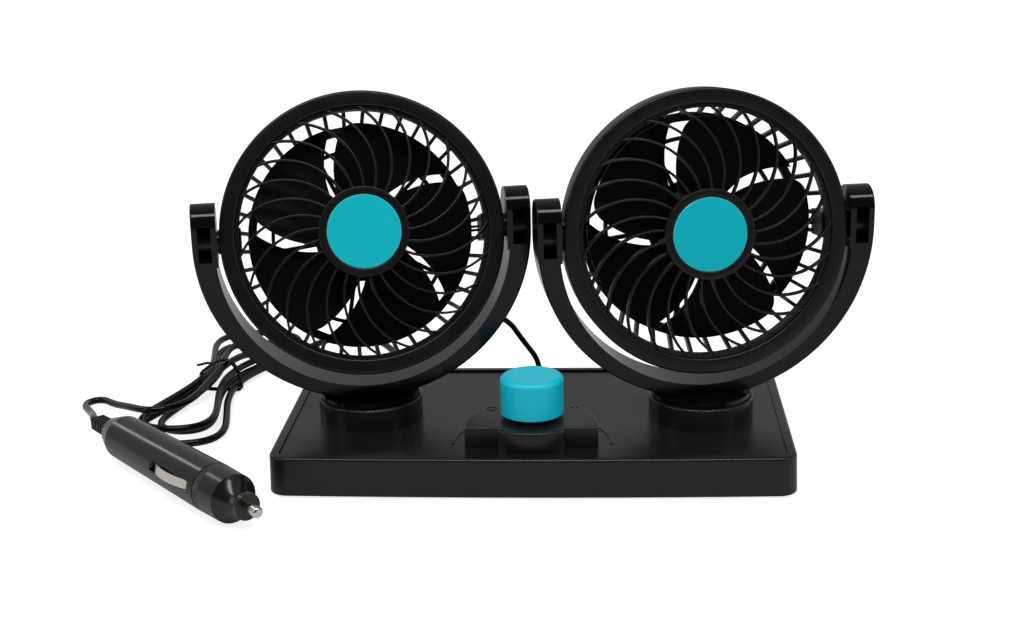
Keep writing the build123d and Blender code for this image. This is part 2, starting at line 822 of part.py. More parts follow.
def build_front_guard(side, front):
    step = ring_face_thick
    root = guard_hub_radius - overrun
    tip = ring_inner
    with BuildPart() as ribs:
        with BuildSketch(front):
            for number in range(rib_count):
                add(rib_outline(root, tip).rotate(Axis.Z, number * 360 / rib_count))
        extrude(amount=guard_hub_front + overrun)
        with BuildSketch(half_section(front)):
            with BuildLine():
                inner_z = guard_hub_front - badge_recess
                outer_z = ring_front - ring_edge_round
                middle = ((root + tip) / 2, (inner_z + outer_z) / 2 + guard_bulge)
                Line((root - overrun, inner_z), (root - overrun, inner_z - guard_dome_thick))
                ThreePointArc((root - overrun, inner_z - guard_dome_thick),
                              (middle[0], middle[1] - guard_dome_thick),
                              (tip + overrun, outer_z - guard_dome_thick))
                Line((tip + overrun, outer_z - guard_dome_thick), (tip + overrun, outer_z))
                ThreePointArc((tip + overrun, outer_z), middle, (root - overrun, inner_z))
            make_face()
        revolve(axis=fan_axis(front), mode=Mode.INTERSECT)
    with BuildPart() as guard:
        with BuildSketch(half_section(front)) as ring_profile:
            with BuildLine():
                Polyline((ring_inner, ring_front), (ring_radius, ring_front), (ring_radius, ring_back),
                         (ring_radius - ring_wall, ring_back),
                         (ring_radius - ring_wall, ring_front - step),
                         (ring_inner + ring_lip, ring_front - step),
                         (ring_inner + ring_lip, ring_lip_back), (ring_step_radius, ring_lip_back),
                         (ring_step_radius, ring_front - ring_step_drop),
                         (ring_inner, ring_front - ring_step_drop), close=True)
            make_face()
            fillet([vertex for vertex in ring_profile.vertices()
                    if vertex.Y > ring_front - fit_gap], ring_edge_round)
        revolve(axis=fan_axis(front))
        with BuildSketch(front.offset(guard_hub_front)):
            Circle(guard_hub_radius)
        extrude(amount=-guard_hub_thick)
        add(ribs.part)
        with BuildSketch(front.offset(guard_hub_front)):
            Circle(badge_radius + running_gap)
        extrude(amount=-badge_recess, mode=Mode.SUBTRACT)
        # Notches in the ring for the trunnions
        with BuildSketch(front.offset(ring_back)):
            for way in (-1, 1):
                with Locations((way * ring_radius, 0)):
                    Rectangle(2 * (ring_wall + overrun), 2 * (boss_half_width + running_gap))
        extrude(amount=ring_front - step - ring_back - fit_gap, mode=Mode.SUBTRACT)
    save(guard.part, side + "_front_guard")
    with BuildPart() as badge:
        with BuildSketch(front.offset(guard_hub_front - badge_recess)):
            Circle(badge_radius)
        extrude(amount=badge_thick)
        fillet(badge.faces().sort_by(Axis(front.origin, front.z_dir))[-1].edges(), badge_round)
    save(badge.part, side + "_hub_badge")


def build_rear_cage(side, front):
    rim_front = ring_back
    rim_back = ring_back - cage_rim_thick
    inside = ring_radius - ring_wall - fit_gap
    slat_reach = rim_back - cage_back + cage_rim_thick
    middle = (cage_rim_inner + cage_ring_outer) / 2
    with BuildPart() as slats:
        with BuildSketch(front.offset(cage_back - cage_back_thick / 2)):
            with PolarLocations(middle, slat_count, start_angle=180 / slat_count):
                Rectangle(ring_radius - cage_ring_inner, slat_width)
        extrude(amount=slat_reach)
        with BuildSketch(half_section(front)):
            with BuildLine():
                Polyline((cage_rim_inner, rim_front - overrun),
                         (cage_rim_inner + slat_thick, rim_front - overrun),
                         (cage_ring_outer, cage_back - cage_back_thick / 2),
                         (cage_ring_outer - slat_thick, cage_back - cage_back_thick / 2), close=True)
            make_face()
        revolve(axis=fan_axis(front), mode=Mode.INTERSECT)
    with BuildPart() as cage:
        with BuildSketch(half_section(front)):
            with BuildLine():
                Polyline((cage_rim_inner, rim_front + cage_spigot), (inside, rim_front + cage_spigot),
                         (inside, rim_front), (ring_radius - fit_gap, rim_front),
                         (ring_radius - fit_gap, rim_back), (cage_rim_inner, rim_back), close=True)
            make_face()
        revolve(axis=fan_axis(front))
        add(slats.part)
        with BuildSketch(front.offset(cage_back)):
            Circle(cage_ring_outer)
            Circle(cage_ring_inner, mode=Mode.SUBTRACT)
            Circle(cage_mid_ring)
            Circle(cage_mid_ring - cage_mid_ring_width, mode=Mode.SUBTRACT)
        extrude(amount=-cage_back_thick)
        with BuildSketch(turned(front, spoke_turn_deg).offset(cage_back)):
            with PolarLocations((cage_ring_inner + holder_flange) / 2, spoke_count):
                Rectangle(cage_ring_inner - holder_flange + 2 * overrun, spoke_width)
        extrude(amount=-cage_back_thick)
        with BuildSketch(front.offset(cage_back)):
            Circle(holder_flange)
        extrude(amount=-cage_back_thick)
        with BuildSketch(front.offset(cage_back)):
            Circle(motor_radius + motor_gap + holder_wall)
        extrude(amount=holder_front - cage_back)
        with BuildSketch(front.offset(holder_front - holder_front_thick)):
            Circle(motor_radius + motor_gap)
        extrude(amount=cage_back - cage_back_thick - holder_front, mode=Mode.SUBTRACT)
        with BuildSketch(front.offset(holder_front)):
            Circle(motor_collar_radius + motor_gap)
            with Locations((-motor_screw_spread, 0), (motor_screw_spread, 0)):
                Circle(motor_screw_radius + running_gap)
        extrude(amount=-holder_front_thick, mode=Mode.SUBTRACT)
        # Slot where the wires reach the motor
        with BuildSketch(front.offset(cage_back)):
            with Locations((motor_radius + holder_wall, 0)):
                Rectangle(2 * holder_wall + motor_gap, wire_slot_width)
        extrude(amount=wire_slot_length, mode=Mode.SUBTRACT)
        # Trunnions with their pins
        for way in (-1, 1):
            boss_x = way * (boss_inner + inside) / 2
            neck_inner = ring_inner + ring_lip + neck_gap
            with BuildSketch(front.offset(ring_lip_back - running_gap)):
                with Locations((boss_x, 0)):
                    Rectangle(inside - boss_inner, 2 * boss_half_width)
            extrude(amount=-boss_reach)
            with BuildSketch(front.offset(ring_lip_back - running_gap)):
                with Locations((way * (neck_inner + inside) / 2, 0)):
                    Rectangle(inside - neck_inner, 2 * boss_half_width)
            extrude(amount=boss_front)
            with BuildSketch(end_on(front, way).offset(neck_inner)):
                Circle(trunnion_radius)
            extrude(amount=arm_inner - pad_gap - neck_inner)
            with BuildSketch(end_on(front, way).offset(neck_inner)):
                Circle(pin_radius)
            extrude(amount=pin_end - neck_inner)
            with BuildSketch(end_on(front, way).offset(pin_end)):
                Circle(pin_bore)
            extrude(amount=neck_inner - pin_end + overrun, mode=Mode.SUBTRACT)
    save(cage.part, side + "_rear_cage")


def build_motor(side, front):
    motor_front = holder_front - holder_front_thick
    motor_back = motor_front - motor_length
    with BuildPart() as can:
        with BuildSketch(front.offset(motor_front)):
            Circle(motor_radius)
        extrude(amount=-motor_length + motor_cap_thick)
        with BuildSketch(front.offset(motor_front)):
            Circle(motor_collar_radius)
        extrude(amount=motor_collar_height)
        with BuildSketch(front.offset(motor_back + motor_cap_thick)):
            Circle(motor_radius - motor_wall)
        extrude(amount=motor_length - motor_cap_thick - motor_wall, mode=Mode.SUBTRACT)
        with BuildSketch(front.offset(holder_front)):
            Circle(motor_shaft_radius + running_gap)
            with Locations((-motor_screw_spread, 0), (motor_screw_spread, 0)):
                Circle(motor_screw_radius + fit_gap)
        extrude(amount=-holder_front_thick - motor_wall - overrun, mode=Mode.SUBTRACT)
    save(can.part, side + "_motor_can")
    with BuildPart() as cap:
        with BuildSketch(front.offset(motor_back)):
            Circle(motor_radius)
        extrude(amount=motor_cap_thick)
        with BuildSketch(front.offset(motor_back + end_play)):
            Circle(motor_shaft_radius + running_gap)
        extrude(amount=motor_cap_thick - end_play, mode=Mode.SUBTRACT)
    save(cap.part, side + "_motor_cap")
    with BuildPart() as screws:
        for way in (-1, 1):
            with BuildSketch(front.offset(holder_front)):
                with Locations((way * motor_screw_spread, 0)):
                    Circle(motor_screw_head)
            extrude(amount=motor_screw_head_thick)
            with BuildSketch(front.offset(holder_front)):
                with Locations((way * motor_screw_spread, 0)):
                    Circle(motor_screw_radius)
            extrude(amount=-holder_front_thick - motor_wall)
    save(screws.part, side + "_motor_screws")
    cover_front = cage_back - cage_back_thick
    with BuildPart() as cover:
        with BuildSketch(front.offset(cover_front)):
            Circle(motor_cover_radius)
        extrude(amount=-motor_cover_lap)
        fillet(cover.faces().sort_by(Axis(front.origin, front.z_dir))[0].edges(), motor_cover_round)
        with BuildSketch(front.offset(cover_front)):
            Circle(motor_cover_radius - motor_cover_wall)
        extrude(amount=motor_cover_thick - motor_cover_lap, mode=Mode.SUBTRACT)
    save(cover.part, side + "_motor_cover")
    with BuildPart() as wires:
        for way in (-1, 1):
            row = way * wire_step
            route = [front.from_local_coords(Vector(x, row, z)) for x, z in wire_route]
            with BuildLine() as wire_line:
                FilletPolyline(*route, radius=wire_bend)
            with BuildSketch(Plane(wire_line.line @ 0, z_dir=wire_line.line % 0)):
                Circle(wire_radius)
            sweep()
    save(wires.part, side + "_motor_wires")


def build_fan(side, front):
    middle = blade_turn_deg - blade_sweep_deg / 2 - 180 / blade_count
    spun = turned(front, middle)
    rise = (blade_depth - blade_thick) / 2
    half_thick = blade_thick / 2
    with BuildPart() as blade:
        with BuildSketch(front.offset(blade_centre - blade_depth)):
            add(blade_outline())
        extrude(amount=2 * blade_depth)
        with BuildSketch(Plane(front.origin + front.z_dir * blade_centre, spun.y_dir, spun.x_dir)):
            with BuildLine():
                ThreePointArc((-blade_half_span, -rise - half_thick), (0, -blade_camber - half_thick),
                              (blade_half_span, rise - half_thick))
                Line((blade_half_span, rise - half_thick), (blade_half_span, rise + half_thick))
                ThreePointArc((blade_half_span, rise + half_thick), (0, half_thick - blade_camber),
                              (-blade_half_span, half_thick - rise))
                Line((-blade_half_span, half_thick - rise), (-blade_half_span, -rise - half_thick))
            make_face()
        extrude(amount=blade_tip_radius + overrun, mode=Mode.INTERSECT)
    with BuildPart() as impeller:
        for number in range(blade_count):
            add(blade.part.rotate(fan_axis(front), number * 360 / blade_count))
        with BuildSketch(half_section(front)):
            with BuildLine():
                Polyline((0, hub_front), (hub_radius, hub_front), (hub_radius, hub_back),
                         (hub_radius - hub_wall, hub_back),
                         (hub_radius - hub_wall, hub_front - hub_wall),
                         (hub_boss_radius, hub_front - hub_wall),
                         (hub_boss_radius, hub_front - hub_wall - hub_boss_length),
                         (0, hub_front - hub_wall - hub_boss_length), close=True)
            make_face()
        revolve(axis=fan_axis(front))
        with BuildSketch(front.offset(hub_front - hub_wall - hub_boss_length)):
            Circle(motor_shaft_radius + fit_gap)
        extrude(amount=hub_boss_length, mode=Mode.SUBTRACT)
    save(impeller.part, side + "_impeller")
    with BuildPart() as shaft:
        with BuildSketch(front.offset(hub_front - hub_wall)):
            Circle(motor_shaft_radius)
        extrude(amount=-shaft_length)
        with BuildSketch(front.offset(armature_front)):
            Circle(armature_radius)
        extrude(amount=-armature_length)
    save(shaft.part, side + "_motor_shaft")


for side, x, yaw, tilt in sides:
    front = head_front(x, yaw, tilt)
    build_yoke(side, x, yaw)
    build_gland(side, x, yaw)
    build_swivel_fixing(side, x)
    build_front_guard(side, front)
    build_rear_cage(side, front)
    build_motor(side, front)
    build_fan(side, front)


def hank_point(turns):
    """Centre of the cord after so many turns of the hank, which spirals in and out again."""
    phase = radians(360 * turns)
    wraps = abs(turns - hank_reverse_turns)
    along = (hank_half_length + hank_length_step * wraps) * sin(phase)
    swell = (hank_swell + hank_swell_step * wraps) * sin(phase) ** 2
    across = (hank_waist + hank_step * wraps + swell) * cos(phase)
    climb = min(max(2 * (turns - hank_reverse_turns) + 1 / 2, 0), 1)
    lift = hank_layer * climb ** 2 * (3 - 2 * climb) + tie_lift * cos(phase) ** hank_lift_power
    lean = radians(hank_turn_deg)
    return Vector(hank_x - along * sin(lean) + across * cos(lean),
                  hank_y - along * cos(lean) - across * sin(lean), cord_radius + lift)


def hank_heading(turns):
    return (hank_point(turns + heading_step) - hank_point(turns - heading_step)).normalized()


def arc_middle(start, corner, end):
    """Middle of the arc that touches both legs of a corner with equal legs."""
    half_turn = radians((corner - start).get_angle(end - corner)) / 2
    weight = cos(half_turn)
    return (start + end + corner * 2 * weight) / (2 * (1 + weight))


def biarc(start, heading_in, end, heading_out):
    """Two arcs between points with given headings, as lists of three points."""
    span = end - start
    both = heading_in + heading_out
    a = 2 * (heading_in.dot(heading_out) - 1)
    b = -2 * span.dot(both)
    c = span.dot(span)
    leg = (-b - sqrt(b * b - 4 * a * c)) / (2 * a)
    first_corner = start + heading_in * leg
    second_corner = end - heading_out * leg
    joint = (first_corner + second_corner) / 2
    return ([start, arc_middle(start, first_corner, joint), joint],
            [joint, arc_middle(joint, second_corner, end), end])


def least_gap(points, diameter):
    """Least clear distance of a tube to itself, measured on points along it."""
    travelled = [0]
    for before, after in zip(points, points[1:]):
        travelled.append(travelled[-1] + (after - before).length)
    far_apart = 4 * diameter
    return min((points[i] - points[j]).length for i in range(len(points))
               for j in range(i + 1, len(points)) if travelled[j] - travelled[i] > far_apart) - diameter


def corner_radii(points, name):
    """Radius of each corner of a route: as large as its two runs allow."""
    radii = []
    for before, corner, after in zip(points, points[1:], points[2:]):
        run_in, run_out = corner - before, after - corner
        turn = radians(run_in.get_angle(run_out))
        radii.append(corner_share * min(run_in.length, run_out.length) / tan(turn / 2))
    print(name, "radii", [round(radius, 1) for radius in radii])
    return radii


def build_tube(route, diameter, name):
    """Cord along straight runs joined by arcs that touch them."""
    points = [Vector(*point) for point in route]
    with BuildPart() as tube:
        with BuildLine() as path:
            FilletPolyline(*points, radius=corner_radii(points, name))
        with BuildSketch(Plane(path.line @ 0, z_dir=path.line % 0)):
            Circle(diameter / 2)
        sweep(path=path.line)
    length = path.wire().length
    share = tube.part.volume / (pi * diameter ** 2 / 4 * length)
    print(name, "length", round(length, 1), "volume share", round(share, 4))
    save(tube.part, name)


# Lead of the left head, down to its grommet in the base
gland_seat_plane = gland_plane(-swivel_spacing / 2, left_yaw_deg)
lead_start = gland_seat_plane.origin + gland_seat_plane.z_dir * gland_length
lead_second = lead_start + gland_seat_plane.z_dir * lead_first_run
lead_end = Vector(lead_hole_x, lead_hole_y, floor_of_recess + grommet_lift)
build_tube([lead_start, lead_second, *lead_route, lead_end], lead_diameter, "left_head_lead")

# Strain relief of the power cord in the base's back wall
back_face = base_depth / 2 + base_draft
with BuildPart() as strain_relief:
    with BuildSketch(Plane((exit_x, 0, exit_height), (1, 0, 0), (0, 0, 1))):
        with BuildLine():
            Polyline((0, back_face - base_wall), (relief_radius, back_face - base_wall),
                     (relief_radius, back_face), (relief_flange, back_face),
                     (relief_flange, back_face + relief_flange_thick),
                     (relief_radius, back_face + relief_flange_thick),
                     (relief_tip, back_face + relief_length), (0, back_face + relief_length),
                     close=True)
        make_face()
    revolve(axis=Axis((exit_x, 0, exit_height), (0, 1, 0)))
save(strain_relief.part, "strain_relief")

# Power cord: lead-in, hank and lead-out
hank_start, hank_end = hank_point(hank_start_turns), hank_point(hank_end_turns)
lead_in_end = hank_start - hank_heading(hank_start_turns) * hank_run
build_tube([*lead_in_route, lead_in_end, hank_start], cord_diameter, "power_cord_lead_in")
lead_out_start = hank_end + hank_heading(hank_end_turns) * hank_run
build_tube([hank_end, lead_out_start, *lead_out_route, (plug_x, plug_y, plug_seam_radius)],
           cord_diameter, "power_cord_lead_out")

hank_steps = round((hank_end_turns - hank_start_turns) * hank_spans)
with BuildPart() as power_cord_hank:
    with BuildLine() as hank_path:
        for step in range(hank_steps):
            turns = hank_start_turns + step / hank_spans
            following = turns + 1 / hank_spans
            for arc in biarc(hank_point(turns), hank_heading(turns), hank_point(following),
                             hank_heading(following)):
                ThreePointArc(*arc)
    with BuildSketch(Plane(hank_start, z_dir=hank_heading(hank_start_turns))):
        Circle(cord_radius)
    sweep(path=hank_path.line)
hank_wire = hank_path.wire()
samples = [hank_wire @ (step / hank_samples) for step in range(hank_samples + 1)]
share = power_cord_hank.part.volume / (pi * cord_radius ** 2 * hank_wire.length)
print("hank length", round(hank_wire.length, 1), "volume share", round(share, 4))
print("hank least gap", round(least_gap(samples, cord_diameter), 2))
save(power_cord_hank.part, "power_cord_hank")

# Twist tie round the waist of the hank
lean = radians(hank_turn_deg)
tie_plane = Plane((hank_x, hank_y, 0), (cos(lean), -sin(lean), 0), (-sin(lean), -cos(lean), 0))
with BuildPart() as twist_tie:
    with BuildLine(tie_plane) as tie_loop:
        FilletPolyline(*tie_outline, radius=tie_bend, close=True)
    with BuildSketch(Plane(tie_loop.line @ 0, z_dir=tie_loop.line % 0)):
        Circle(tie_radius)
    sweep(path=tie_loop.line)
    tail_start = tie_plane.from_local_coords(Vector(tie_outline[-1][0], tie_tail_height - tie_bend))
    tail_heading = (Vector(0, 0, tie_tail_slope) - tie_plane.x_dir).normalized()
    with BuildSketch(Plane(tail_start, z_dir=tail_heading)):
        Circle(tie_radius)
    extrude(amount=tie_tail)
save(twist_tie.part, "twist_tie")


def plug_section(distance):
    """Plane square to the plug's axis, so far from the rear of its boot."""
    return Plane((plug_x + plug_dir_x * distance, plug_y + plug_dir_y * distance, plug_seam_radius),
                 (-plug_dir_y, plug_dir_x, 0), (plug_dir_x, plug_dir_y, 0))


# Plane through the plug's axis with Y upwards, and one that lies level
plug_profile = Plane((plug_x, plug_y, plug_seam_radius), (plug_dir_x, plug_dir_y, 0),
                     (plug_dir_y, -plug_dir_x, 0))
plug_level = Plane((plug_x, plug_y, plug_seam_radius), (plug_dir_x, plug_dir_y, 0), (0, 0, 1))
plug_axis = Axis(plug_profile.origin, plug_profile.x_dir)
# The same planes turned about the axis, so that the left contact lies a little above level
contact_turn = radians(contact_turn_deg)
contact_up = Vector(0, 0, cos(contact_turn)) + Vector(-plug_dir_y, plug_dir_x) * sin(contact_turn)
contact_side = Vector(0, 0, sin(contact_turn)) - Vector(-plug_dir_y, plug_dir_x) * cos(contact_turn)
contact_level = Plane(plug_profile.origin, plug_profile.x_dir, contact_up)
contact_profile = Plane(plug_profile.origin, plug_profile.x_dir, contact_side)
shoulder_end = boot_length + shoulder_length
seam = shoulder_end + plug_body_length
taper_start = seam + nose_land
taper_end = taper_start + nose_length
nose_end = taper_end + nose_collar_length
tip_head_front = nose_end - nose_front_wall
bore_end = seam - body_bore_depth
waist = nose_collar_radius - nose_collar_step

with BuildPart() as plug_boot:
    with BuildSketch(plug_level):
        with BuildLine():
            Polyline((0, -boot_rear_width / 2 + boot_groove_depth),
                     (boot_length, -boot_front_width / 2 + boot_groove_depth),
                     (boot_length, boot_front_width / 2 - boot_groove_depth),
                     (0, boot_rear_width / 2 - boot_groove_depth), close=True)
        make_face()
    extrude(amount=boot_thick / 2 - boot_groove_depth, both=True)
    rib_pitch = boot_length / (boot_grooves + 1)
    for number in range(boot_grooves + 1):
        place = number * rib_pitch
        width = boot_rear_width + (boot_front_width - boot_rear_width) * place / boot_length
        with BuildSketch(plug_section(place)):
            RectangleRounded(width, boot_thick, 2 * boot_groove_depth)
        extrude(amount=rib_pitch - (boot_groove_width if number < boot_grooves else 0))
save(plug_boot.part, "plug_boot")

slot_floor = plug_rear_radius - contact_slot_depth
contact_top = plug_seam_radius + contact_bow
contact_middle = seam - contact_start - contact_length / 2
with BuildPart() as plug_body:
    with BuildSketch(plug_profile):
        with BuildLine():
            Polyline((boot_length, 0), (boot_length, plug_rear_radius - shoulder_length / 3),
                     (shoulder_end, plug_rear_radius), (seam, plug_seam_radius),
                     (seam, plug_bore), (bore_end, plug_bore), (bore_end, 0), close=True)
        make_face()
    revolve(axis=plug_axis)
    for way in (-1, 1):
        with BuildSketch(contact_profile.offset(way * (plug_seam_radius + contact_bow))):
            with Locations((contact_middle, 0)):
                Rectangle(contact_length + 2 * contact_slot_ends, contact_width + contact_thick)
        extrude(amount=way * (slot_floor - plug_seam_radius - contact_bow), mode=Mode.SUBTRACT)
save(plug_body.part, "plug_body")

with BuildPart() as side_contacts:
    for way in (-1, 1):
        with BuildSketch(contact_level):
            with BuildLine():
                near = [(contact_middle - contact_length / 2, way * (slot_floor + fit_gap)),
                        (contact_middle, way * (contact_top - contact_thick)),
                        (contact_middle + contact_length / 2, way * (slot_floor + fit_gap))]
                far = [(along, across + way * contact_thick) for along, across in near]
                ThreePointArc(*near)
                Line(near[2], far[2])
                ThreePointArc(*far)
                Line(far[0], near[0])
            make_face()
        extrude(amount=contact_width / 2, both=True)
save(side_contacts.part, "side_contacts")

with BuildPart() as plug_nose:
    with BuildSketch(plug_profile):
        with BuildLine():
            Line((seam, nose_bore), (seam, plug_seam_radius))
            Line((seam, plug_seam_radius), (taper_start, nose_land_radius))
            ThreePointArc((taper_start, nose_land_radius),
                          (taper_start + nose_length / 2,
                           (nose_land_radius + waist) / 2 - nose_hollow), (taper_end, waist))
            Polyline((taper_end, waist), (taper_end, nose_collar_radius),
                     (nose_end, nose_collar_radius), (nose_end, tip_radius + running_gap),
                     (tip_head_front, tip_radius + running_gap), (tip_head_front, nose_bore),
                     (seam, nose_bore))
        make_face()
    revolve(axis=plug_axis)
save(plug_nose.part, "plug_nose")

tip_end = nose_end + tip_out
head_front = tip_head_front - swivel_gap
head_back = head_front - tip_head_length
with BuildPart() as plug_tip:
    with BuildSketch(plug_profile):
        with BuildLine():
            Polyline((head_back, 0), (head_back, tip_head_radius), (head_front, tip_head_radius),
                     (head_front, tip_radius), (tip_end - tip_round, tip_radius))
            RadiusArc((tip_end - tip_round, tip_radius), (tip_end, tip_radius - tip_round), tip_round)
            Polyline((tip_end, tip_radius - tip_round), (tip_end, 0), (head_back, 0))
        make_face()
    revolve(axis=plug_axis)
save(plug_tip.part, "plug_tip")

fuse_back = head_back - fuse_length
with BuildPart() as plug_fuse:
    with BuildSketch(plug_section(fuse_back)):
        Circle(fuse_radius)
    extrude(amount=fuse_length)
save(plug_fuse.part, "plug_fuse")

with BuildPart() as tip_spring:
    spring_length = fuse_back - bore_end - 2 * spring_wire
    with BuildLine() as spring_path:
        Helix(spring_length / spring_turns, spring_length, spring_radius,
              center=plug_section(bore_end + spring_wire).origin, direction=plug_axis.direction)
    with BuildSketch(Plane(spring_path.line @ 0, z_dir=spring_path.line % 0)):
        Circle(spring_wire / 2)
    sweep(path=spring_path.line)
save(tip_spring.part, "tip_spring")
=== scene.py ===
from math import atan2, cos, hypot, pi, radians, sin

import bmesh
import bpy
from mathutils import Matrix, Quaternion, Vector


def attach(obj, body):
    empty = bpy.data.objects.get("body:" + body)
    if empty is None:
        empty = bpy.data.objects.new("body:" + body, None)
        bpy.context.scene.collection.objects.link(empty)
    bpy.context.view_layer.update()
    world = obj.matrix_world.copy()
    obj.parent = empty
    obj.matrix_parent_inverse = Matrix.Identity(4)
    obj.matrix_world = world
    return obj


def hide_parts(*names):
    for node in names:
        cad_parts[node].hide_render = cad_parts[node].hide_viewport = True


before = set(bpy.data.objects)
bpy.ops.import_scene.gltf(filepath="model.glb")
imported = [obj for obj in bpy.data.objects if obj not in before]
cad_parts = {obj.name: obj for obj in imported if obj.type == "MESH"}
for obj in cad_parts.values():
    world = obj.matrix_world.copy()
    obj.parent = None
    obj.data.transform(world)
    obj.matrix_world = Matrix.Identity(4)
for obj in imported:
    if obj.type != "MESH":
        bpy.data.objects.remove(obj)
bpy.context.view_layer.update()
mm = 0.001
print("frame loaded:", len(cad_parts), "nodes")

# The photo's camera: its eye in metres, its turns in degrees and its lens in millimetres
shot = {"place": (0.03187, -0.68158, 0.27823), "down": 17.46, "left": 3.48, "roll": 1.35, "lens": 57.01}


def makeCamera():
    data = bpy.data.cameras.new("shotCamera")
    data.sensor_width = 36
    data.lens = shot["lens"]
    data.clip_start, data.clip_end = 0.01, 60
    camera = bpy.data.objects.new("shotCamera", data)
    bpy.context.scene.collection.objects.link(camera)
    down, left = radians(shot["down"]), radians(shot["left"])
    ahead = Vector((-sin(left) * cos(down), cos(left) * cos(down), -sin(down)))
    camera.rotation_mode = "QUATERNION"
    roll = Quaternion((0, 0, 1), -radians(shot["roll"]))
    camera.rotation_quaternion = ahead.to_track_quat("-Z", "Y") @ roll
    camera.location = shot["place"]
    bpy.context.scene.camera = camera


makeCamera()
print("camera set")


def hexColour(text):
    # sRGB hex to the linear values that the shaders take
    parts = [int(text[i:i + 2], 16) / 255 for i in (0, 2, 4)]
    return (*[p / 12.92 if p <= 0.04045 else ((p + 0.055) / 1.055) ** 2.4 for p in parts], 1)


def addNode(material, kind, settings=None, links=None):
    node = material.node_tree.nodes.new(kind)
    for name, value in (settings or {}).items():
        if name in node.inputs:
            node.inputs[name].default_value = value
        else:
            setattr(node, name, value)
    for name, source in (links or {}).items():
        material.node_tree.links.new(source, node.inputs[name])
    return node


def newMaterial(name, surface):
    material = bpy.data.materials.new(name)
    material.use_nodes = True
    shader = material.node_tree.nodes["Principled BSDF"]
    for socket, value in surface.items():
        shader.inputs[socket].default_value = value
    return material, shader


def mathStep(material, operation, *values):
    # One step of arithmetic, on sockets or plain numbers
    node = addNode(material, "ShaderNodeMath", {"operation": operation})
    for place, value in enumerate(values):
        if hasattr(value, "is_output"):
            material.node_tree.links.new(value, node.inputs[place])
        else:
            node.inputs[place].default_value = value
    return node.outputs[0]


def noise(material, spot, cellMm, detail):
    # A cloudy pattern whose patches are about that many millimetres wide
    settings = {"Scale": 1 / (cellMm * mm), "Detail": detail}
    return addNode(material, "ShaderNodeTexNoise", settings, {"Vector": spot}).outputs["Fac"]


mixInputs, mixOutput = (6, 7), 2   # places of the colour sockets of a Mix node
noiseSpan = (0.3, 0.7)             # nearly all of a noise's values lie in here


def joinPatterns(material, shader, look, patterns, relief, span=noiseSpan):
    # Patterns for tone, gloss and height; relief is the strength and the depth of the last
    cloud, streaks, height = patterns
    strength, deep = relief
    tone = addNode(material, "ShaderNodeMix", {"data_type": "RGBA"}, {"Factor": cloud})
    for place, colour in zip(mixInputs, (look["colour"], look["shade"])):
        tone.inputs[place].default_value = hexColour(colour)
    gloss = addNode(material, "ShaderNodeMapRange",
                    {"From Min": span[0], "From Max": span[1], "To Min": look["rough"] - look["spread"],
                     "To Max": look["rough"] + look["spread"]}, {"Value": streaks})
    bump = addNode(material, "ShaderNodeBump", {"Strength": strength, "Distance": deep * mm},
                   {"Height": height})
    links = material.node_tree.links
    links.new(tone.outputs[mixOutput], shader.inputs["Base Color"])
    links.new(gloss.outputs["Result"], shader.inputs["Roughness"])
    links.new(bump.outputs["Normal"], shader.inputs["Normal"])


def mouldedPlastic(name, look, surface):
    # Moulded plastic: a cloudy tone from handling, uneven gloss, and the grain of the mould
    material, shader = newMaterial(name, surface)
    spot = addNode(material, "ShaderNodeTexCoord").outputs["Object"]
    cloud = noise(material, spot, look["cloudMm"], 3.0)
    grain = noise(material, spot, look["grainMm"], 2.0)
    joinPatterns(material, shader, look, (cloud, cloud, grain), (look["grainStrength"], look["grainDeep"]))
    return material


# Nose of the plug: a dark joint at its seam, then a band of fine flutes
flutes = {
    "rear": (-201.5, 3.0, 10.8), "heading": -46.41, "seam": 103.2, "seamWide": 0.7,
    "start": 103.9, "end": 107.4, "count": 72, "deep": 0.3, "specular": 0.5,
}


def flutedPlastic(name, look, surface):
    # Moulded plastic with ridges round the plug's axis, in the plug's own directions
    material = mouldedPlastic(name, look, surface)
    shader = material.node_tree.nodes["Principled BSDF"]
    spot = addNode(material, "ShaderNodeTexCoord").outputs["Object"]
    onPlug = addNode(material, "ShaderNodeMapping",
                     {"vector_type": "TEXTURE", "Location": [c * mm for c in flutes["rear"]],
                      "Rotation": (0, 0, radians(flutes["heading"]))}, {"Vector": spot})
    split = addNode(material, "ShaderNodeSeparateXYZ", {}, {"Vector": onPlug.outputs["Vector"]}).outputs

    def band(start, end):
        # 1 between these two places along the plug, and 0 elsewhere
        return mathStep(material, "COMPARE", split["X"], (start + end) / 2 * mm, (end - start) / 2 * mm)

    around = mathStep(material, "ARCTAN2", split["Z"], split["Y"])
    ridge = mathStep(material, "COSINE", mathStep(material, "MULTIPLY", around, flutes["count"]))
    height = mathStep(material, "MULTIPLY", ridge, band(flutes["start"], flutes["end"]))
    inSeam = band(flutes["seam"], flutes["seam"] + flutes["seamWide"])
    specular = mathStep(material, "MULTIPLY_ADD", inSeam, -flutes["specular"], flutes["specular"])
    grain = shader.inputs["Normal"].links[0].from_socket
    bump = addNode(material, "ShaderNodeBump", {"Strength": 1.0, "Distance": flutes["deep"] / 2 * mm},
                   {"Height": height, "Normal": grain})
    material.node_tree.links.new(specular, shader.inputs["Specular IOR Level"])
    material.node_tree.links.new(bump.outputs["Normal"], shader.inputs["Normal"])
    return material


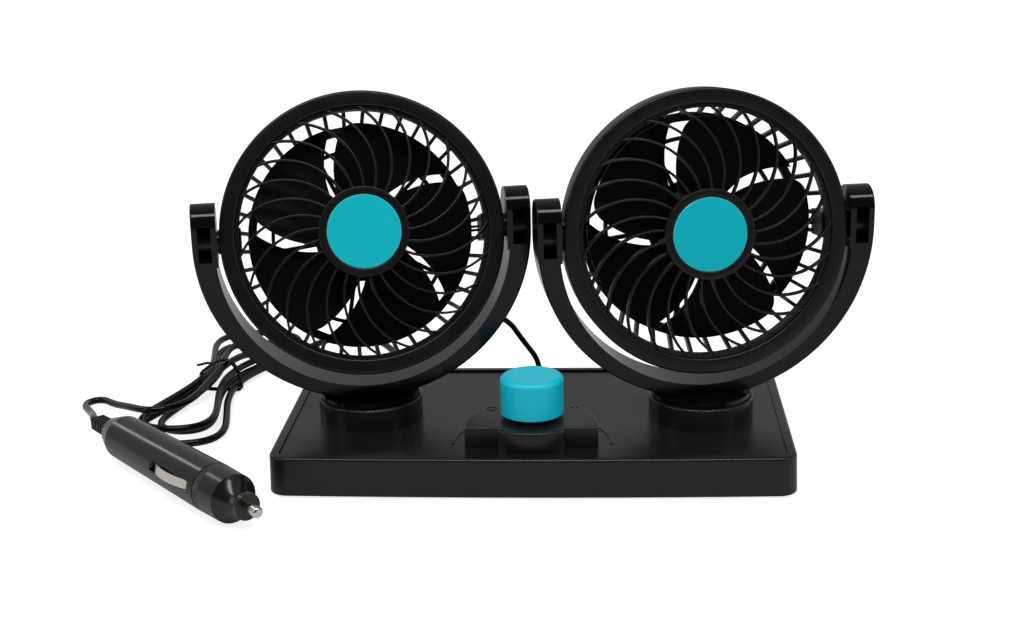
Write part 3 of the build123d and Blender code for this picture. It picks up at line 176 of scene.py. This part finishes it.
def drawnMetal(name, look):
    # Drawn or rolled metal: fine lines along one way of the piece, and dull patches
    material, shader = newMaterial(name, {"Metallic": 1.0})
    spot = addNode(material, "ShaderNodeTexCoord").outputs["Object"]
    along = addNode(material, "ShaderNodeMapping",
                    {"Rotation": (0, 0, radians(look["turn"])), "Scale": look["stretch"]}, {"Vector": spot})
    lines = noise(material, along.outputs["Vector"], look["lineMm"], 2.0)
    dull = noise(material, spot, look["dullMm"], 3.0)
    joinPatterns(material, shader, look, (dull, lines, lines), (look["lineStrength"], look["lineDeep"]))
    return material


def foamRubber(name, look):
    # Closed-cell foam: small round pores and a dry, dull skin
    material, shader = newMaterial(name, {"Specular IOR Level": look["specular"]})
    spot = addNode(material, "ShaderNodeTexCoord").outputs["Object"]
    pores = addNode(material, "ShaderNodeTexVoronoi", {"Scale": 1 / (look["poreMm"] * mm)}, {"Vector": spot})
    dust = noise(material, spot, look["dustMm"], 4.0)
    joinPatterns(material, shader, look, (dust, dust, pores.outputs["Distance"]),
                 (look["poreStrength"], look["poreDeep"]), (0, 1))
    return material


# The looks: two colours, roughness and its spread, and patterns whose sizes are in millimetres
plugLook = {
    "colour": "0E0F11", "shade": "131417", "rough": 0.2, "spread": 0.04, "cloudMm": 12,
    "grainMm": 0.8, "grainStrength": 0.2, "grainDeep": 0.03,
}
finishes = {
    # ABS from a spark-eroded mould: satin, so the studio shows in it only as a soft grey. Its real grain
    # is 0.1 mm, drawn coarser here, as in the other plastics, so that a picture of this size shows it
    "base": mouldedPlastic("blackAbsSparkTexture", {
        "colour": "121214", "shade": "17171A", "rough": 0.28, "spread": 0.05, "cloudMm": 26,
        "grainMm": 0.7, "grainStrength": 0.3, "grainDeep": 0.03}, {"IOR": 1.5, "Specular IOR Level": 0.4}),
    # ABS from a polished mould: slow waves in its gloss, with the lamps as long streaks
    "yoke": mouldedPlastic("blackAbsPolished", {
        "colour": "060607", "shade": "09090A", "rough": 0.13, "spread": 0.03, "cloudMm": 18,
        "grainMm": 5.0, "grainStrength": 0.2, "grainDeep": 0.05}, {"IOR": 1.46, "Specular IOR Level": 0.36}),
    # ABS from a fine-blasted mould: dull front faces that stay dark from every side
    "guard": mouldedPlastic("blackAbsBlasted", {
        "colour": "0A0A0A", "shade": "0F0F0F", "rough": 0.34, "spread": 0.05, "cloudMm": 14,
        "grainMm": 0.6, "grainStrength": 0.25, "grainDeep": 0.03}, {"IOR": 1.5, "Specular IOR Level": 0.36}),
    # Polypropylene, a waxier black with broad soft gloss
    "cage": mouldedPlastic("blackPolypropylene", {
        "colour": "0A0A0A", "shade": "101010", "rough": 0.34, "spread": 0.06, "cloudMm": 10,
        "grainMm": 0.9, "grainStrength": 0.2, "grainDeep": 0.03}, {"IOR": 1.49}),
    # The same plastic on the blades: thin, dull and darker
    "blade": mouldedPlastic("blackPolypropyleneBlade", {
        "colour": "050505", "shade": "080808", "rough": 0.5, "spread": 0.05, "cloudMm": 22,
        "grainMm": 1.2, "grainStrength": 0.15, "grainDeep": 0.04}, {"IOR": 1.45, "Specular IOR Level": 0.12}),
    # Turquoise ABS, painted: bright, with a thin clear gloss over fine pearl
    "knob": mouldedPlastic("turquoisePearlPaint", {
        "colour": "06C0D8", "shade": "0CCBE1", "rough": 0.36, "spread": 0.04, "cloudMm": 1.1,
        "grainMm": 0.5, "grainStrength": 0.12, "grainDeep": 0.02},
        {"IOR": 1.5, "Specular IOR Level": 0.35, "Coat Weight": 0.08, "Coat Roughness": 0.12}),
    # Printed disc: the knob's colour, satin and evenly lit
    "badge": mouldedPlastic("turquoiseSatinDisc", {
        "colour": "02B2BF", "shade": "05B9C7", "rough": 0.5, "spread": 0.05, "cloudMm": 3.0,
        "grainMm": 0.6, "grainStrength": 0.12, "grainDeep": 0.02}, {"IOR": 1.5, "Specular IOR Level": 0.12}),
    # Edge of the disc: glossier than its face, and drawn in a paler colour as a painted highlight along the
    # rim
    "badgeRimHighlight": mouldedPlastic("paintedHighlightRim", {
        "colour": "5FDCE4", "shade": "4CCFD8", "rough": 0.2, "spread": 0.03, "cloudMm": 4.0,
        "grainMm": 2.0, "grainStrength": 0.1, "grainDeep": 0.02}, {"IOR": 1.5, "Coat Weight": 0.5}),
    # Soft PVC: oily gloss, slightly uneven from winding
    "cord": mouldedPlastic("blackSoftPvc", {
        "colour": "060607", "shade": "0A0A0B", "rough": 0.2, "spread": 0.05, "cloudMm": 9,
        "grainMm": 2.5, "grainStrength": 0.3, "grainDeep": 0.05}, {"IOR": 1.5, "Specular IOR Level": 0.32}),
    # Moulded PVC of glands, grommets and the plug's boot: drier than the cord
    "boot": mouldedPlastic("blackPvcBoot", {
        "colour": "080809", "shade": "0C0C0D", "rough": 0.36, "spread": 0.05, "cloudMm": 7,
        "grainMm": 0.6, "grainStrength": 0.3, "grainDeep": 0.03}, {"IOR": 1.5, "Specular IOR Level": 0.26}),
    # ABS from a fairly bright mould: the strip lamp shows along the plug as a soft streak
    "plug": mouldedPlastic("blackAbsPlug", plugLook, {"IOR": 1.54}),
    # The same with the nose's flutes
    "nose": flutedPlastic("blackAbsFlutedNose", plugLook, {"IOR": 1.54}),
    # Glass-filled nylon: grey and dry
    "switch": mouldedPlastic("greyNylonSwitch", {
        "colour": "2A2B2D", "shade": "333437", "rough": 0.5, "spread": 0.06, "cloudMm": 5,
        "grainMm": 0.5, "grainStrength": 0.3, "grainDeep": 0.03}, {"IOR": 1.53}),
    # Unglazed ceramic of the resistor: chalky
    "ceramic": mouldedPlastic("whiteCeramic", {
        "colour": "D9D5CB", "shade": "C9C4B8", "rough": 0.62, "spread": 0.08, "cloudMm": 3,
        "grainMm": 0.4, "grainStrength": 0.5, "grainDeep": 0.05}, {"IOR": 1.6}),
    # Thin PVC round the motor's wire
    "redWire": mouldedPlastic("redPvcWire", {
        "colour": "8E1B16", "shade": "6E1410", "rough": 0.36, "spread": 0.05, "cloudMm": 4,
        "grainMm": 1.0, "grainStrength": 0.2, "grainDeep": 0.03}, {"IOR": 1.53}),
    # Glass tube of the fuse, with its wire unseen
    "glass": mouldedPlastic("clearFuseGlass", {
        "colour": "DDE4E2", "shade": "C8D0CE", "rough": 0.12, "spread": 0.04, "cloudMm": 5,
        "grainMm": 2.0, "grainStrength": 0.1, "grainDeep": 0.02}, {"IOR": 1.5, "Transmission Weight": 0.7}),
    # Nickel-plated spring steel, bright and a little yellow against the black
    "nickel": drawnMetal("nickelPlatedSteel", {
        "colour": "EFE9DC", "shade": "DDD5C6", "rough": 0.20, "spread": 0.05, "lineMm": 0.5,
        "lineStrength": 0.25, "lineDeep": 0.01, "stretch": (0.08, 1, 1), "turn": 46.4, "dullMm": 3}),
    # Zinc-plated steel: greyer and duller
    "steel": drawnMetal("zincPlatedSteel", {
        "colour": "B9BBBD", "shade": "A2A4A6", "rough": 0.36, "spread": 0.08, "lineMm": 0.6,
        "lineStrength": 0.25, "lineDeep": 0.02, "stretch": (1, 0.2, 1), "turn": 0, "dullMm": 4}),
    # EVA foam pad under the base: dusty, with pores
    "foam": foamRubber("blackFoamPad", {
        "colour": "191919", "shade": "262626", "rough": 0.835, "spread": 0.065, "specular": 0.25,
        "poreMm": 0.9, "poreStrength": 0.5, "poreDeep": 0.15, "dustMm": 30}),
}

nodeFinish = {
    "base": ["base_housing", "base_cover"],
    "foam": ["grip_pad"],
    "boot": ["strain_relief", "lead_grommets", "plug_boot"],
    "steel": ["cover_screws", "switch_nut"],
    "switch": ["rotary_switch", "switch_shaft"],
    "ceramic": ["speed_resistor"],
    "plug": ["plug_body"],
    "nose": ["plug_nose"],
    "nickel": ["side_contacts", "plug_tip", "tip_spring"],
    "glass": ["plug_fuse"],
    "knob": ["speed_knob"],
    "cord": ["left_head_lead", "power_cord_lead_in", "power_cord_hank", "power_cord_lead_out", "twist_tie"],
}
# What both heads have, without left_ or right_ before the name
headFinish = {
    "yoke": ["yoke"],
    "boot": ["lead_gland"],
    "steel": ["swivel_washer", "swivel_screw", "motor_can", "motor_screws", "motor_shaft"],
    "guard": ["front_guard"],
    "cage": ["rear_cage", "motor_cover"],
    "switch": ["motor_cap"],
    "redWire": ["motor_wires"],
    "blade": ["impeller"],
}


def dressNodes(named, before=""):
    for finish, names in named.items():
        for name in names:
            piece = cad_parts[before + name]
            if not piece.data.materials:
                piece.data.materials.append(finishes[finish])
            for place in piece.material_slots:
                place.material = finishes[finish]


dressNodes(nodeFinish)
for before in ("left_", "right_"):
    dressNodes(headFinish, before)
print("finishes made:", len(finishes))

# Power cord: out of the base behind the left fan, three turns of a hank, then a lead to the plug
powerCord = {
    "diameter": 3.4, "length": 1.32, "exit": (-70.0, 75.5, 9.6),
    "leadIn": [(-70.0, 75.5, 9.6), (-70.0, 86.5, 9.6), (-71.2, 98.5, 7.4), (-73.8, 110.0, 4.2),
               (-77.6, 121.0, 2.0), (-82.4, 132.0, 1.7), (-88.2, 142.6, 1.7),
               (-96.2, 151.2, 1.7), (-106.4, 154.8, 1.7), (-116.6, 151.6, 1.7), (-125.7, 139.8, 1.6)],
    "hankMiddle": (-162.0, 74.0), "hankTurn": 7.0, "startTurns": -0.125, "turns": 3.0, "pointsPerTurn": 24,
    "halfLength": 56.0, "lengthStep": 16.0, "swell": 22.0, "swellStep": 19.0, "waist": 2.4, "step": 4.3,
    "layer": 4.0, "tieLift": 1.9, "backTurns": 1.5,
    "leadOut": [(-136.1, 114.5, 6.0), (-144.6, 102.8, 9.6), (-151.4, 91.4, 13.2), (-156.2, 79.4, 13.8),
                (-159.6, 68.0, 13.0), (-161.6, 57.6, 12.0), (-162.8, 47.4, 11.3),
                (-164.2, 37.2, 10.8), (-167.8, 27.6, 10.5), (-174.6, 20.4, 10.4),
                (-183.8, 19.4, 10.2), (-191.4, 25.4, 9.2), (-197.8, 33.2, 7.2),
                (-203.8, 40.2, 5.2), (-209.0, 46.6, 3.9), (-212.8, 51.6, 3.2),
                (-217.2, 53.4, 2.8), (-220.6, 50.4, 2.9), (-221.0, 45.0, 3.5),
                (-218.8, 38.6, 4.4), (-214.8, 31.2, 5.6), (-210.6, 22.6, 7.2),
                (-207.1, 14.0, 9.3), (-204.6, 6.26, 10.8), (-201.5, 3.0, 10.8)],
}


def hankPoint(turns):
    # One point of the hank, whose turns spiral in and out again
    hank = powerCord
    phase, wraps = 2 * pi * turns, abs(turns - hank["backTurns"])
    along = (hank["halfLength"] + hank["lengthStep"] * wraps) * sin(phase)
    swell = (hank["swell"] + hank["swellStep"] * wraps) * sin(phase) ** 2
    across = (hank["waist"] + hank["step"] * wraps + swell) * cos(phase)
    climb = min(max(2 * (turns - hank["backTurns"]) + 0.5, 0), 1)
    lift = hank["layer"] * climb ** 2 * (3 - 2 * climb) + hank["tieLift"] * cos(phase) ** 8
    lean = radians(hank["hankTurn"])
    return (hank["hankMiddle"][0] - along * sin(lean) + across * cos(lean),
            hank["hankMiddle"][1] - along * cos(lean) - across * sin(lean), hank["diameter"] / 2 + lift)


def cordCurve(name, points, diameter, finish, fineness=6):
    data = bpy.data.curves.new(name, "CURVE")
    data.dimensions = "3D"
    data.bevel_depth = diameter / 2 * mm
    data.bevel_resolution = fineness
    data.resolution_u = 8
    data.use_fill_caps = True
    spline = data.splines.new("NURBS")
    spline.points.add(len(points) - 1)
    for point, place in zip(spline.points, points):
        point.co = (*[c * mm for c in place], 1)
    spline.order_u = 3
    spline.use_endpoint_u = True
    data.materials.append(finish)
    piece = bpy.data.objects.new(name, data)
    bpy.context.scene.collection.objects.link(piece)
    return piece


def makePowerCord():
    count = int(powerCord["turns"] * powerCord["pointsPerTurn"])
    hank = [hankPoint(powerCord["startTurns"] + i / powerCord["pointsPerTurn"]) for i in range(count + 1)]
    piece = cordCurve("powerCord", powerCord["leadIn"] + hank + powerCord["leadOut"],
                      powerCord["diameter"], finishes["cord"])
    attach(piece, "base")
    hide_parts("power_cord_lead_in", "power_cord_hank", "power_cord_lead_out")
    return piece


# Twist tie: a thin coated wire, twice round the hank, its tail to the left
twistTie = {
    "diameter": 1.3, "pitch": 1.6, "turns": 2,
    "outline": [(-9.6, 6.0), (-9.6, 3.0), (-8.9, 1.0), (-5.5, 0.85), (1.0, 0.8), (8.0, 0.85), (11.2, 1.0),
                (12.0, 3.0), (11.8, 6.0), (11.0, 9.4), (9.0, 13.2), (6.9, 15.6), (3.8, 16.4), (0.2, 15.8),
                (-3.6, 13.4), (-7.4, 10.6), (-9.4, 8.6)],
    "cutShort": 2, "tail": [(-5.6, 14.0), (-8.6, 13.0), (-11.4, 12.4)],
}


def makeTwistTie():
    lean = radians(powerCord["hankTurn"])
    middle = powerCord["hankMiddle"]
    route, count = [], len(twistTie["outline"])
    for turn in range(twistTie["turns"]):
        for number, (across, height) in enumerate(twistTie["outline"]):
            along = twistTie["pitch"] * (turn + number / count - twistTie["turns"] / 2)
            route.append((across, along, height))
    del route[-twistTie["cutShort"]:]
    tailAlong = twistTie["pitch"] * twistTie["turns"] / 2
    route += [(across, tailAlong, height) for across, height in twistTie["tail"]]
    points = [(middle[0] + across * cos(lean) + along * sin(lean),
               middle[1] - across * sin(lean) + along * cos(lean), height) for across, along, height in route]
    piece = cordCurve("twistTie", points, twistTie["diameter"], finishes["cord"], 4)
    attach(piece, "base")
    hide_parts("twist_tie")
    return piece


# Heads: the middle of each fan, its turn to the viewer's right and its upward tilt
heads = {
    "left": {"at": (-73.6, -3.5, 101.0), "yaw": 12.0, "tilt": 18.0},
    "right": {"at": (73.6, -3.5, 101.0), "yaw": 9.5, "tilt": 7.5},
}

# Lead of the left head: out of the yoke's arm, down to the base
headLead = {
    "diameter": 2.5,
    "length": 0.045,
    "route": [(-8.0, 16.8, 48.0), (-4.3, 19.7, 41.5), (-1.0, 22.5, 36.0), (0.8, 24.4, 30.6),
              (1.5, 25.0, 24.3), (1.5, 25.0, 18.3)],
    "firstRun": 5.0, "angle": -36.0, "depth": -4.0, "gland": 2.4, "yokeRadius": 72.8,
}


def makeHeadLead():
    turn, yaw = radians(headLead["angle"]), radians(heads["left"]["yaw"])
    across, ahead = Vector((cos(yaw), sin(yaw), 0)), Vector((sin(yaw), -cos(yaw), 0))
    outwards = across * cos(turn) + Vector((0, 0, sin(turn)))
    seat = Vector(heads["left"]["at"]) + ahead * headLead["depth"]
    seat += outwards * (headLead["yokeRadius"] + headLead["gland"])
    points = [tuple(seat), tuple(seat + outwards * headLead["firstRun"])] + headLead["route"]
    piece = cordCurve("leftHeadLead", points, headLead["diameter"], finishes["cord"])
    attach(piece, "base")
    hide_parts("left_head_lead")


cordPiece = makePowerCord()
tiePiece = makeTwistTie()
makeHeadLead()
print("cords made")


def headMatrix(side):
    # Millimetres across, up and ahead of a fan, turned into the shared frame
    head = heads[side]
    yaw, tilt = radians(head["yaw"]), radians(head["tilt"])
    across = Vector((cos(yaw), sin(yaw), 0))
    ahead = Vector((sin(yaw) * cos(tilt), -cos(yaw) * cos(tilt), sin(tilt)))
    up = ahead.cross(across)
    turn = Matrix((across, up, ahead)).transposed().to_4x4()
    return Matrix.Translation(Vector(head["at"]) * mm) @ turn @ Matrix.Scale(mm, 4)


def makePiece(name, mesh, place, finish, flatAngle=35):
    # The bmesh becomes a piece whose place is in its mesh, smooth but for its sharp edges
    data = bpy.data.meshes.new(name)
    bmesh.ops.transform(mesh, matrix=place, verts=mesh.verts)
    for face in mesh.faces:
        face.smooth = True
    for edge in mesh.edges:
        edge.smooth = len(edge.link_faces) == 2 and edge.calc_face_angle(0) < radians(flatAngle)
    mesh.to_mesh(data)
    mesh.free()
    data.materials.append(finish)
    piece = bpy.data.objects.new(name, data)
    bpy.context.scene.collection.objects.link(piece)
    return piece


def spinProfile(mesh, profile, steps, closed=True):
    # Turns a profile of (radius, height) points about the Z axis
    verts = [mesh.verts.new((radius, 0, height)) for radius, height in profile]
    edges = [mesh.edges.new((verts[i], verts[i + 1])) for i in range(len(verts) - 1)]
    if closed:
        edges.append(mesh.edges.new((verts[-1], verts[0])))
    bmesh.ops.spin(mesh, geom=verts + edges, cent=(0, 0, 0), axis=(0, 0, 1), angle=2 * pi,
                   steps=steps, use_merge=True)


def roundEdges(mesh, edges, size, segments):
    bmesh.ops.bevel(mesh, geom=edges, offset=size, segments=segments, profile=0.5, affect="EDGES", material=-1)


near = 0.01   # millimetres, less than any real step


def rimsAt(mesh, height):
    # Edges that run round at that height
    return [e for e in mesh.edges if all(abs(v.co.z - height) < near for v in e.verts)
            and abs(hypot(*e.verts[0].co.xy) - hypot(*e.verts[1].co.xy)) < near]


# Front guard: a ring with an inner step, a hub with a pocket for the badge, and swept ribs between
guard = {
    "ringOuter": 61.3, "ringInner": 54.6, "front": 8.0, "back": -1.5, "faceThick": 2.2, "wall": 2.0,
    "lip": 0.6, "lipBack": 0.8, "round": 1.1, "stepRadius": 53.0, "stepDrop": 1.4,
    "hubRadius": 19.4, "hubFront": 14.6, "hubThick": 3.6, "hubRound": 0.5,
    "badgePocket": 15.95, "pocketDeep": 1.5,
    "ribs": 25, "ribWide": 1.1, "ribThick": 2.8, "sweep": 31.0, "midShare": 0.62, "midSweep": 0.455,
    "bulge": 1.2, "rootInHub": 1, "domeInHub": 2, "domeInRing": 1, "ribRoundShare": 0.42,
    "ribSpans": 18, "ringSteps": 160, "hubSteps": 96,
    "notchHalf": 5.65, "notchTop": 5.78, "notchOver": 1, "notchBehind": 8,
}


def ribSpine():
    # Circle through the rib's root, middle and tip, seen from the front
    root, tip = guard["hubRadius"] - guard["rootInHub"], guard["ringInner"]
    middle = root + guard["midShare"] * (tip - root)
    turns = (0, radians(guard["sweep"] * guard["midSweep"]), radians(guard["sweep"]))
    a, b, c = [Vector((r * cos(t), r * sin(t))) for r, t in zip((root, middle, tip), turns)]
    d = 2 * (a.x * (b.y - c.y) + b.x * (c.y - a.y) + c.x * (a.y - b.y))
    aa, bb, cc = a.length_squared, b.length_squared, c.length_squared
    centre = Vector(((aa * (b.y - c.y) + bb * (c.y - a.y) + cc * (a.y - b.y)) / d,
                     (aa * (c.x - b.x) + bb * (a.x - c.x) + cc * (b.x - a.x)) / d))
    start, end = atan2(a.y - centre.y, a.x - centre.x), atan2(c.y - centre.y, c.x - centre.x)
    if start - end > pi:
        end += 2 * pi
    return centre, (a - centre).length, start, end


def domeHeight(radius):
    # Front of the ribs, a shallow dome from the hub down to the ring
    inner, outer = guard["hubRadius"] - guard["domeInHub"], guard["ringInner"] + guard["domeInRing"]
    share = (radius - inner) / (outer - inner)
    top, low = guard["hubFront"] - guard["pocketDeep"], guard["front"] - guard["round"]
    return top + (low - top) * share + 4 * guard["bulge"] * share * (1 - share)


def guardRing():
    g = guard
    ring = bmesh.new()
    spinProfile(ring, [
        (g["ringInner"], g["front"]), (g["ringOuter"], g["front"]), (g["ringOuter"], g["back"]),
        (g["ringOuter"] - g["wall"], g["back"]), (g["ringOuter"] - g["wall"], g["front"] - g["faceThick"]),
        (g["ringInner"] + g["lip"], g["front"] - g["faceThick"]), (g["ringInner"] + g["lip"], g["lipBack"]),
        (g["stepRadius"], g["lipBack"]), (g["stepRadius"], g["front"] - g["stepDrop"]),
        (g["ringInner"], g["front"] - g["stepDrop"])], g["ringSteps"])
    roundEdges(ring, rimsAt(ring, g["front"]), g["round"], 4)
    bmesh.ops.recalc_face_normals(ring, faces=ring.faces)
    return ring


def guardHub():
    g = guard
    hub = bmesh.new()
    floor = g["hubFront"] - g["pocketDeep"]
    spinProfile(hub, [
        (g["hubRadius"], g["hubFront"] - g["hubThick"]), (g["hubRadius"], g["hubFront"]),
        (g["badgePocket"], g["hubFront"]), (g["badgePocket"], floor), (0, floor)],
        g["hubSteps"], closed=False)
    back = bmesh.ops.create_circle(hub, cap_ends=True, segments=g["hubSteps"], radius=g["hubRadius"])
    bmesh.ops.translate(hub, vec=(0, 0, g["hubFront"] - g["hubThick"]), verts=back["verts"])
    bmesh.ops.remove_doubles(hub, verts=hub.verts, dist=near)
    roundEdges(hub, rimsAt(hub, g["hubFront"]), g["hubRound"], 3)
    bmesh.ops.recalc_face_normals(hub, faces=hub.faces)
    return hub


def guardRibs():
    # A unit bar along X, divided and bent along the spine, then repeated round the hub
    g = guard
    ribs = bmesh.new()
    bar = bmesh.ops.create_cube(ribs, size=1)
    bmesh.ops.translate(ribs, vec=(0.5, 0, -0.5), verts=bar["verts"])
    bmesh.ops.scale(ribs, vec=(1, g["ribWide"], g["ribThick"]), verts=ribs.verts)
    fronts = [e for e in ribs.edges if all(v.co.z > -near for v in e.verts)
              and abs(e.verts[0].co.x - e.verts[1].co.x) > 0.5]
    roundEdges(ribs, fronts, g["ribWide"] * g["ribRoundShare"], 3)
    bmesh.ops.delete(ribs, geom=[f for f in ribs.faces if abs(f.normal.x) > 0.9], context="FACES_ONLY")
    runs = [e for e in ribs.edges if abs(e.verts[0].co.x - e.verts[1].co.x) > 0.5]
    bmesh.ops.subdivide_edges(ribs, edges=runs, cuts=g["ribSpans"], use_grid_fill=True)
    centre, radius, start, end = ribSpine()
    for vert in ribs.verts:
        angle = start + (end - start) * vert.co.x
        reach = radius - vert.co.y
        spot = centre + Vector((cos(angle), sin(angle))) * reach
        vert.co = (spot.x, spot.y, domeHeight(spot.length) + vert.co.z)
    bmesh.ops.spin(ribs, geom=ribs.verts[:] + ribs.edges[:] + ribs.faces[:], cent=(0, 0, 0), axis=(0, 0, 1),
                   angle=2 * pi * (g["ribs"] - 1) / g["ribs"], steps=g["ribs"] - 1, use_duplicate=True)
    bmesh.ops.recalc_face_normals(ribs, faces=ribs.faces)
    return ribs


def makeGuard(side):
    whole = bpy.data.meshes.new("guardParts")
    joined = bmesh.new()
    for part in (guardRing(), guardHub(), guardRibs()):
        part.to_mesh(whole)
        part.free()
        joined.from_mesh(whole)
    piece = makePiece(side + "FrontGuard", joined, headMatrix(side), finishes["guard"])
    bpy.data.meshes.remove(whole)
    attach(piece, side + "_head")
    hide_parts(side + "_front_guard")
    return piece


def notchGuard(piece, side):
    # Notches at the back of the ring, where the trunnions pass
    g = guard
    box = bmesh.new()
    for way in (-1, 1):
        made = bmesh.ops.create_cube(box, size=1)
        size = (2 * (g["wall"] + g["notchOver"]), 2 * g["notchHalf"], g["notchTop"] + g["notchBehind"])
        place = (way * g["ringOuter"], 0, (g["notchTop"] - g["notchBehind"]) / 2)
        bmesh.ops.scale(box, vec=size, verts=made["verts"])
        bmesh.ops.translate(box, vec=place, verts=made["verts"])
    cutter = makePiece("notchBoxes", box, headMatrix(side), finishes["guard"])
    cut = piece.modifiers.new("notches", "BOOLEAN")
    cut.operation, cut.solver, cut.object = "DIFFERENCE", "EXACT", cutter
    bpy.context.view_layer.update()
    done = bpy.data.meshes.new_from_object(piece.evaluated_get(bpy.context.evaluated_depsgraph_get()))
    piece.modifiers.clear()
    piece.data = done
    bpy.data.objects.remove(cutter)


for side in heads:
    notchGuard(makeGuard(side), side)
print("front guards made")

# Hub badges: a turquoise disc whose narrow sloping rim is drawn paler, as a painted highlight
badge = {
    "radius": 15.9, "thick": 1.3, "back": 13.1, "rimWide": 0.32, "rimDrop": 0.28, "steps": 96,
    "flatAngle": 20,
}


def makeBadge(side):
    b = badge
    front = b["back"] + b["thick"]
    mesh = bmesh.new()
    spinProfile(mesh, [(0, b["back"]), (b["radius"], b["back"]), (b["radius"], front - b["rimDrop"]),
                       (b["radius"] - b["rimWide"], front), (0, front)], b["steps"], closed=False)
    bmesh.ops.remove_doubles(mesh, verts=mesh.verts, dist=near)
    bmesh.ops.recalc_face_normals(mesh, faces=mesh.faces)
    for face in mesh.faces:
        # The rim's faces take the paler colour, a painted highlight
        onRim = front - b["rimDrop"] + near < face.calc_center_median().z < front - near
        face.material_index = 1 if onRim else 0
    piece = makePiece(side + "HubBadge", mesh, headMatrix(side), finishes["badge"], b["flatAngle"])
    piece.data.materials.append(finishes["badgeRimHighlight"])
    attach(piece, side + "_head")
    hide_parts(side + "_hub_badge")


for side in heads:
    makeBadge(side)

# Motor wires: a red and a black lead from the trunnion down a slat to the motor
motorWires = {
    "diameter": 1.2, "apart": 0.8,
    "route": [(52.2, -13.0), (50.4, -13.0), (49.4, -15.0), (48.6, -17.6), (46.4, -18.6), (34.0, -18.6),
              (22.0, -18.6), (12.3, -18.6)],
}


def makeMotorWires(side):
    place = headMatrix(side)
    half = motorWires["apart"]
    for apart, finish, name in ((half, "redWire", "Red"), (-half, "cord", "Black")):
        points = [tuple((place @ Vector((x, apart, z))) / mm) for x, z in motorWires["route"]]
        piece = cordCurve(side + "MotorWire" + name, points, motorWires["diameter"], finishes[finish], 3)
        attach(piece, side + "_head")
    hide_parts(side + "_motor_wires")


for side in heads:
    makeMotorWires(side)
# Studio: a pale floor that keeps the shadow, a soft box above, two side panels, and a strip behind
# the left that draws the streak along the plug
studio = {
    "floorRadius": 9.0, "floorDrop": 0.00005, "floorGlow": 0.80, "floorMirrored": 0.14, "floorShade": "B4B4B4",
    "behind": 0.38, "before": 0.06, "fade": (-0.5, 0.45), "ambient": 0.50,
    "lamps": {
        "overhead": {"at": (0.0, -0.42, 1.05), "to": (0, 0, 0.05), "size": (1.2, 0.2), "watts": 6.6},
        "leftPanel": {"at": (-1.1, -0.5, 0.55), "to": (0, 0, 0.08), "size": (0.35, 0.9), "watts": 1.6},
        "rightPanel": {"at": (1.1, -0.5, 0.55), "to": (0, 0, 0.08), "size": (0.35, 0.9), "watts": 1.6},
        "plugStrip": {"at": (-0.93, 0.61, 0.67), "to": (-0.165, -0.035, 0.01), "size": (0.09, 0.6),
                      "watts": 0.75},
    },
}


def whiteRays(material):
    # The kinds of ray, and 1 for those from the camera or through glass, which see plain white
    rays = addNode(material, "ShaderNodeLightPath").outputs
    return rays, mathStep(material, "MAXIMUM", rays["Is Camera Ray"], rays["Is Transmission Ray"])


def makeFloor():
    mesh = bmesh.new()
    bmesh.ops.create_circle(mesh, cap_ends=True, segments=96, radius=studio["floorRadius"])
    bmesh.ops.translate(mesh, vec=(0, 0, -studio["floorDrop"]), verts=mesh.verts)
    material = bpy.data.materials.new("paleFloor")
    material.use_nodes = True
    material.node_tree.nodes.remove(material.node_tree.nodes["Principled BSDF"])
    rays, white = whiteRays(material)
    plain = addNode(material, "ShaderNodeBsdfDiffuse", {"Color": hexColour(studio["floorShade"])})
    glow = addNode(material, "ShaderNodeEmission",
                   {"Color": hexColour("FFFFFF"), "Strength": studio["floorGlow"]})
    both = addNode(material, "ShaderNodeAddShader")
    # Gloss shows part of the white too
    shown = mathStep(material, "MULTIPLY_ADD", rays["Is Glossy Ray"], studio["floorMirrored"], white)
    choice = addNode(material, "ShaderNodeMixShader")
    links = material.node_tree.links
    for source, target in ((plain, both.inputs[0]), (glow, both.inputs[1]), (plain, choice.inputs[1]),
                           (both, choice.inputs[2])):
        links.new(source.outputs[0], target)
    links.new(shown, choice.inputs[0])
    links.new(choice.outputs[0], material.node_tree.nodes["Material Output"].inputs["Surface"])
    piece = makePiece("paleFloor", mesh, Matrix.Identity(4), material)


def makeWorld():
    world = bpy.data.worlds.new("studioRoom")
    bpy.context.scene.world = world
    world.use_nodes = True
    room = world.node_tree.nodes["Background"]
    rays, white = whiteRays(world)
    spot = addNode(world, "ShaderNodeTexCoord").outputs["Generated"]
    split = addNode(world, "ShaderNodeSeparateXYZ", {}, {"Vector": spot})
    fade = addNode(world, "ShaderNodeMapRange",
                   {"interpolation_type": "SMOOTHSTEP", "From Min": studio["fade"][0],
                    "From Max": studio["fade"][1], "To Min": studio["before"], "To Max": studio["behind"]},
                   {"Value": split.outputs["Y"]})
    mirrored = addNode(world, "ShaderNodeMix", {"data_type": "FLOAT", "A": studio["ambient"]},
                       {"Factor": rays["Is Glossy Ray"], "B": fade.outputs["Result"]})
    strength = addNode(world, "ShaderNodeMix", {"data_type": "FLOAT", "B": 1.0},
                       {"Factor": white, "A": mirrored.outputs[0]})
    room.inputs["Color"].default_value = (1, 1, 1, 1)
    world.node_tree.links.new(strength.outputs[0], room.inputs["Strength"])


def makeLamps():
    for name, lamp in studio["lamps"].items():
        data = bpy.data.lights.new(name, "AREA")
        data.shape = "RECTANGLE"
        data.size, data.size_y = lamp["size"]
        data.energy = lamp["watts"]
        piece = bpy.data.objects.new(name, data)
        bpy.context.scene.collection.objects.link(piece)
        piece.location = lamp["at"]
        piece.rotation_mode = "QUATERNION"
        piece.rotation_quaternion = (Vector(lamp["to"]) - Vector(lamp["at"])).to_track_quat("-Z", "Y")


makeFloor()
makeWorld()
makeLamps()
bpy.context.scene.view_settings.view_transform = "Standard"
print("studio lit")
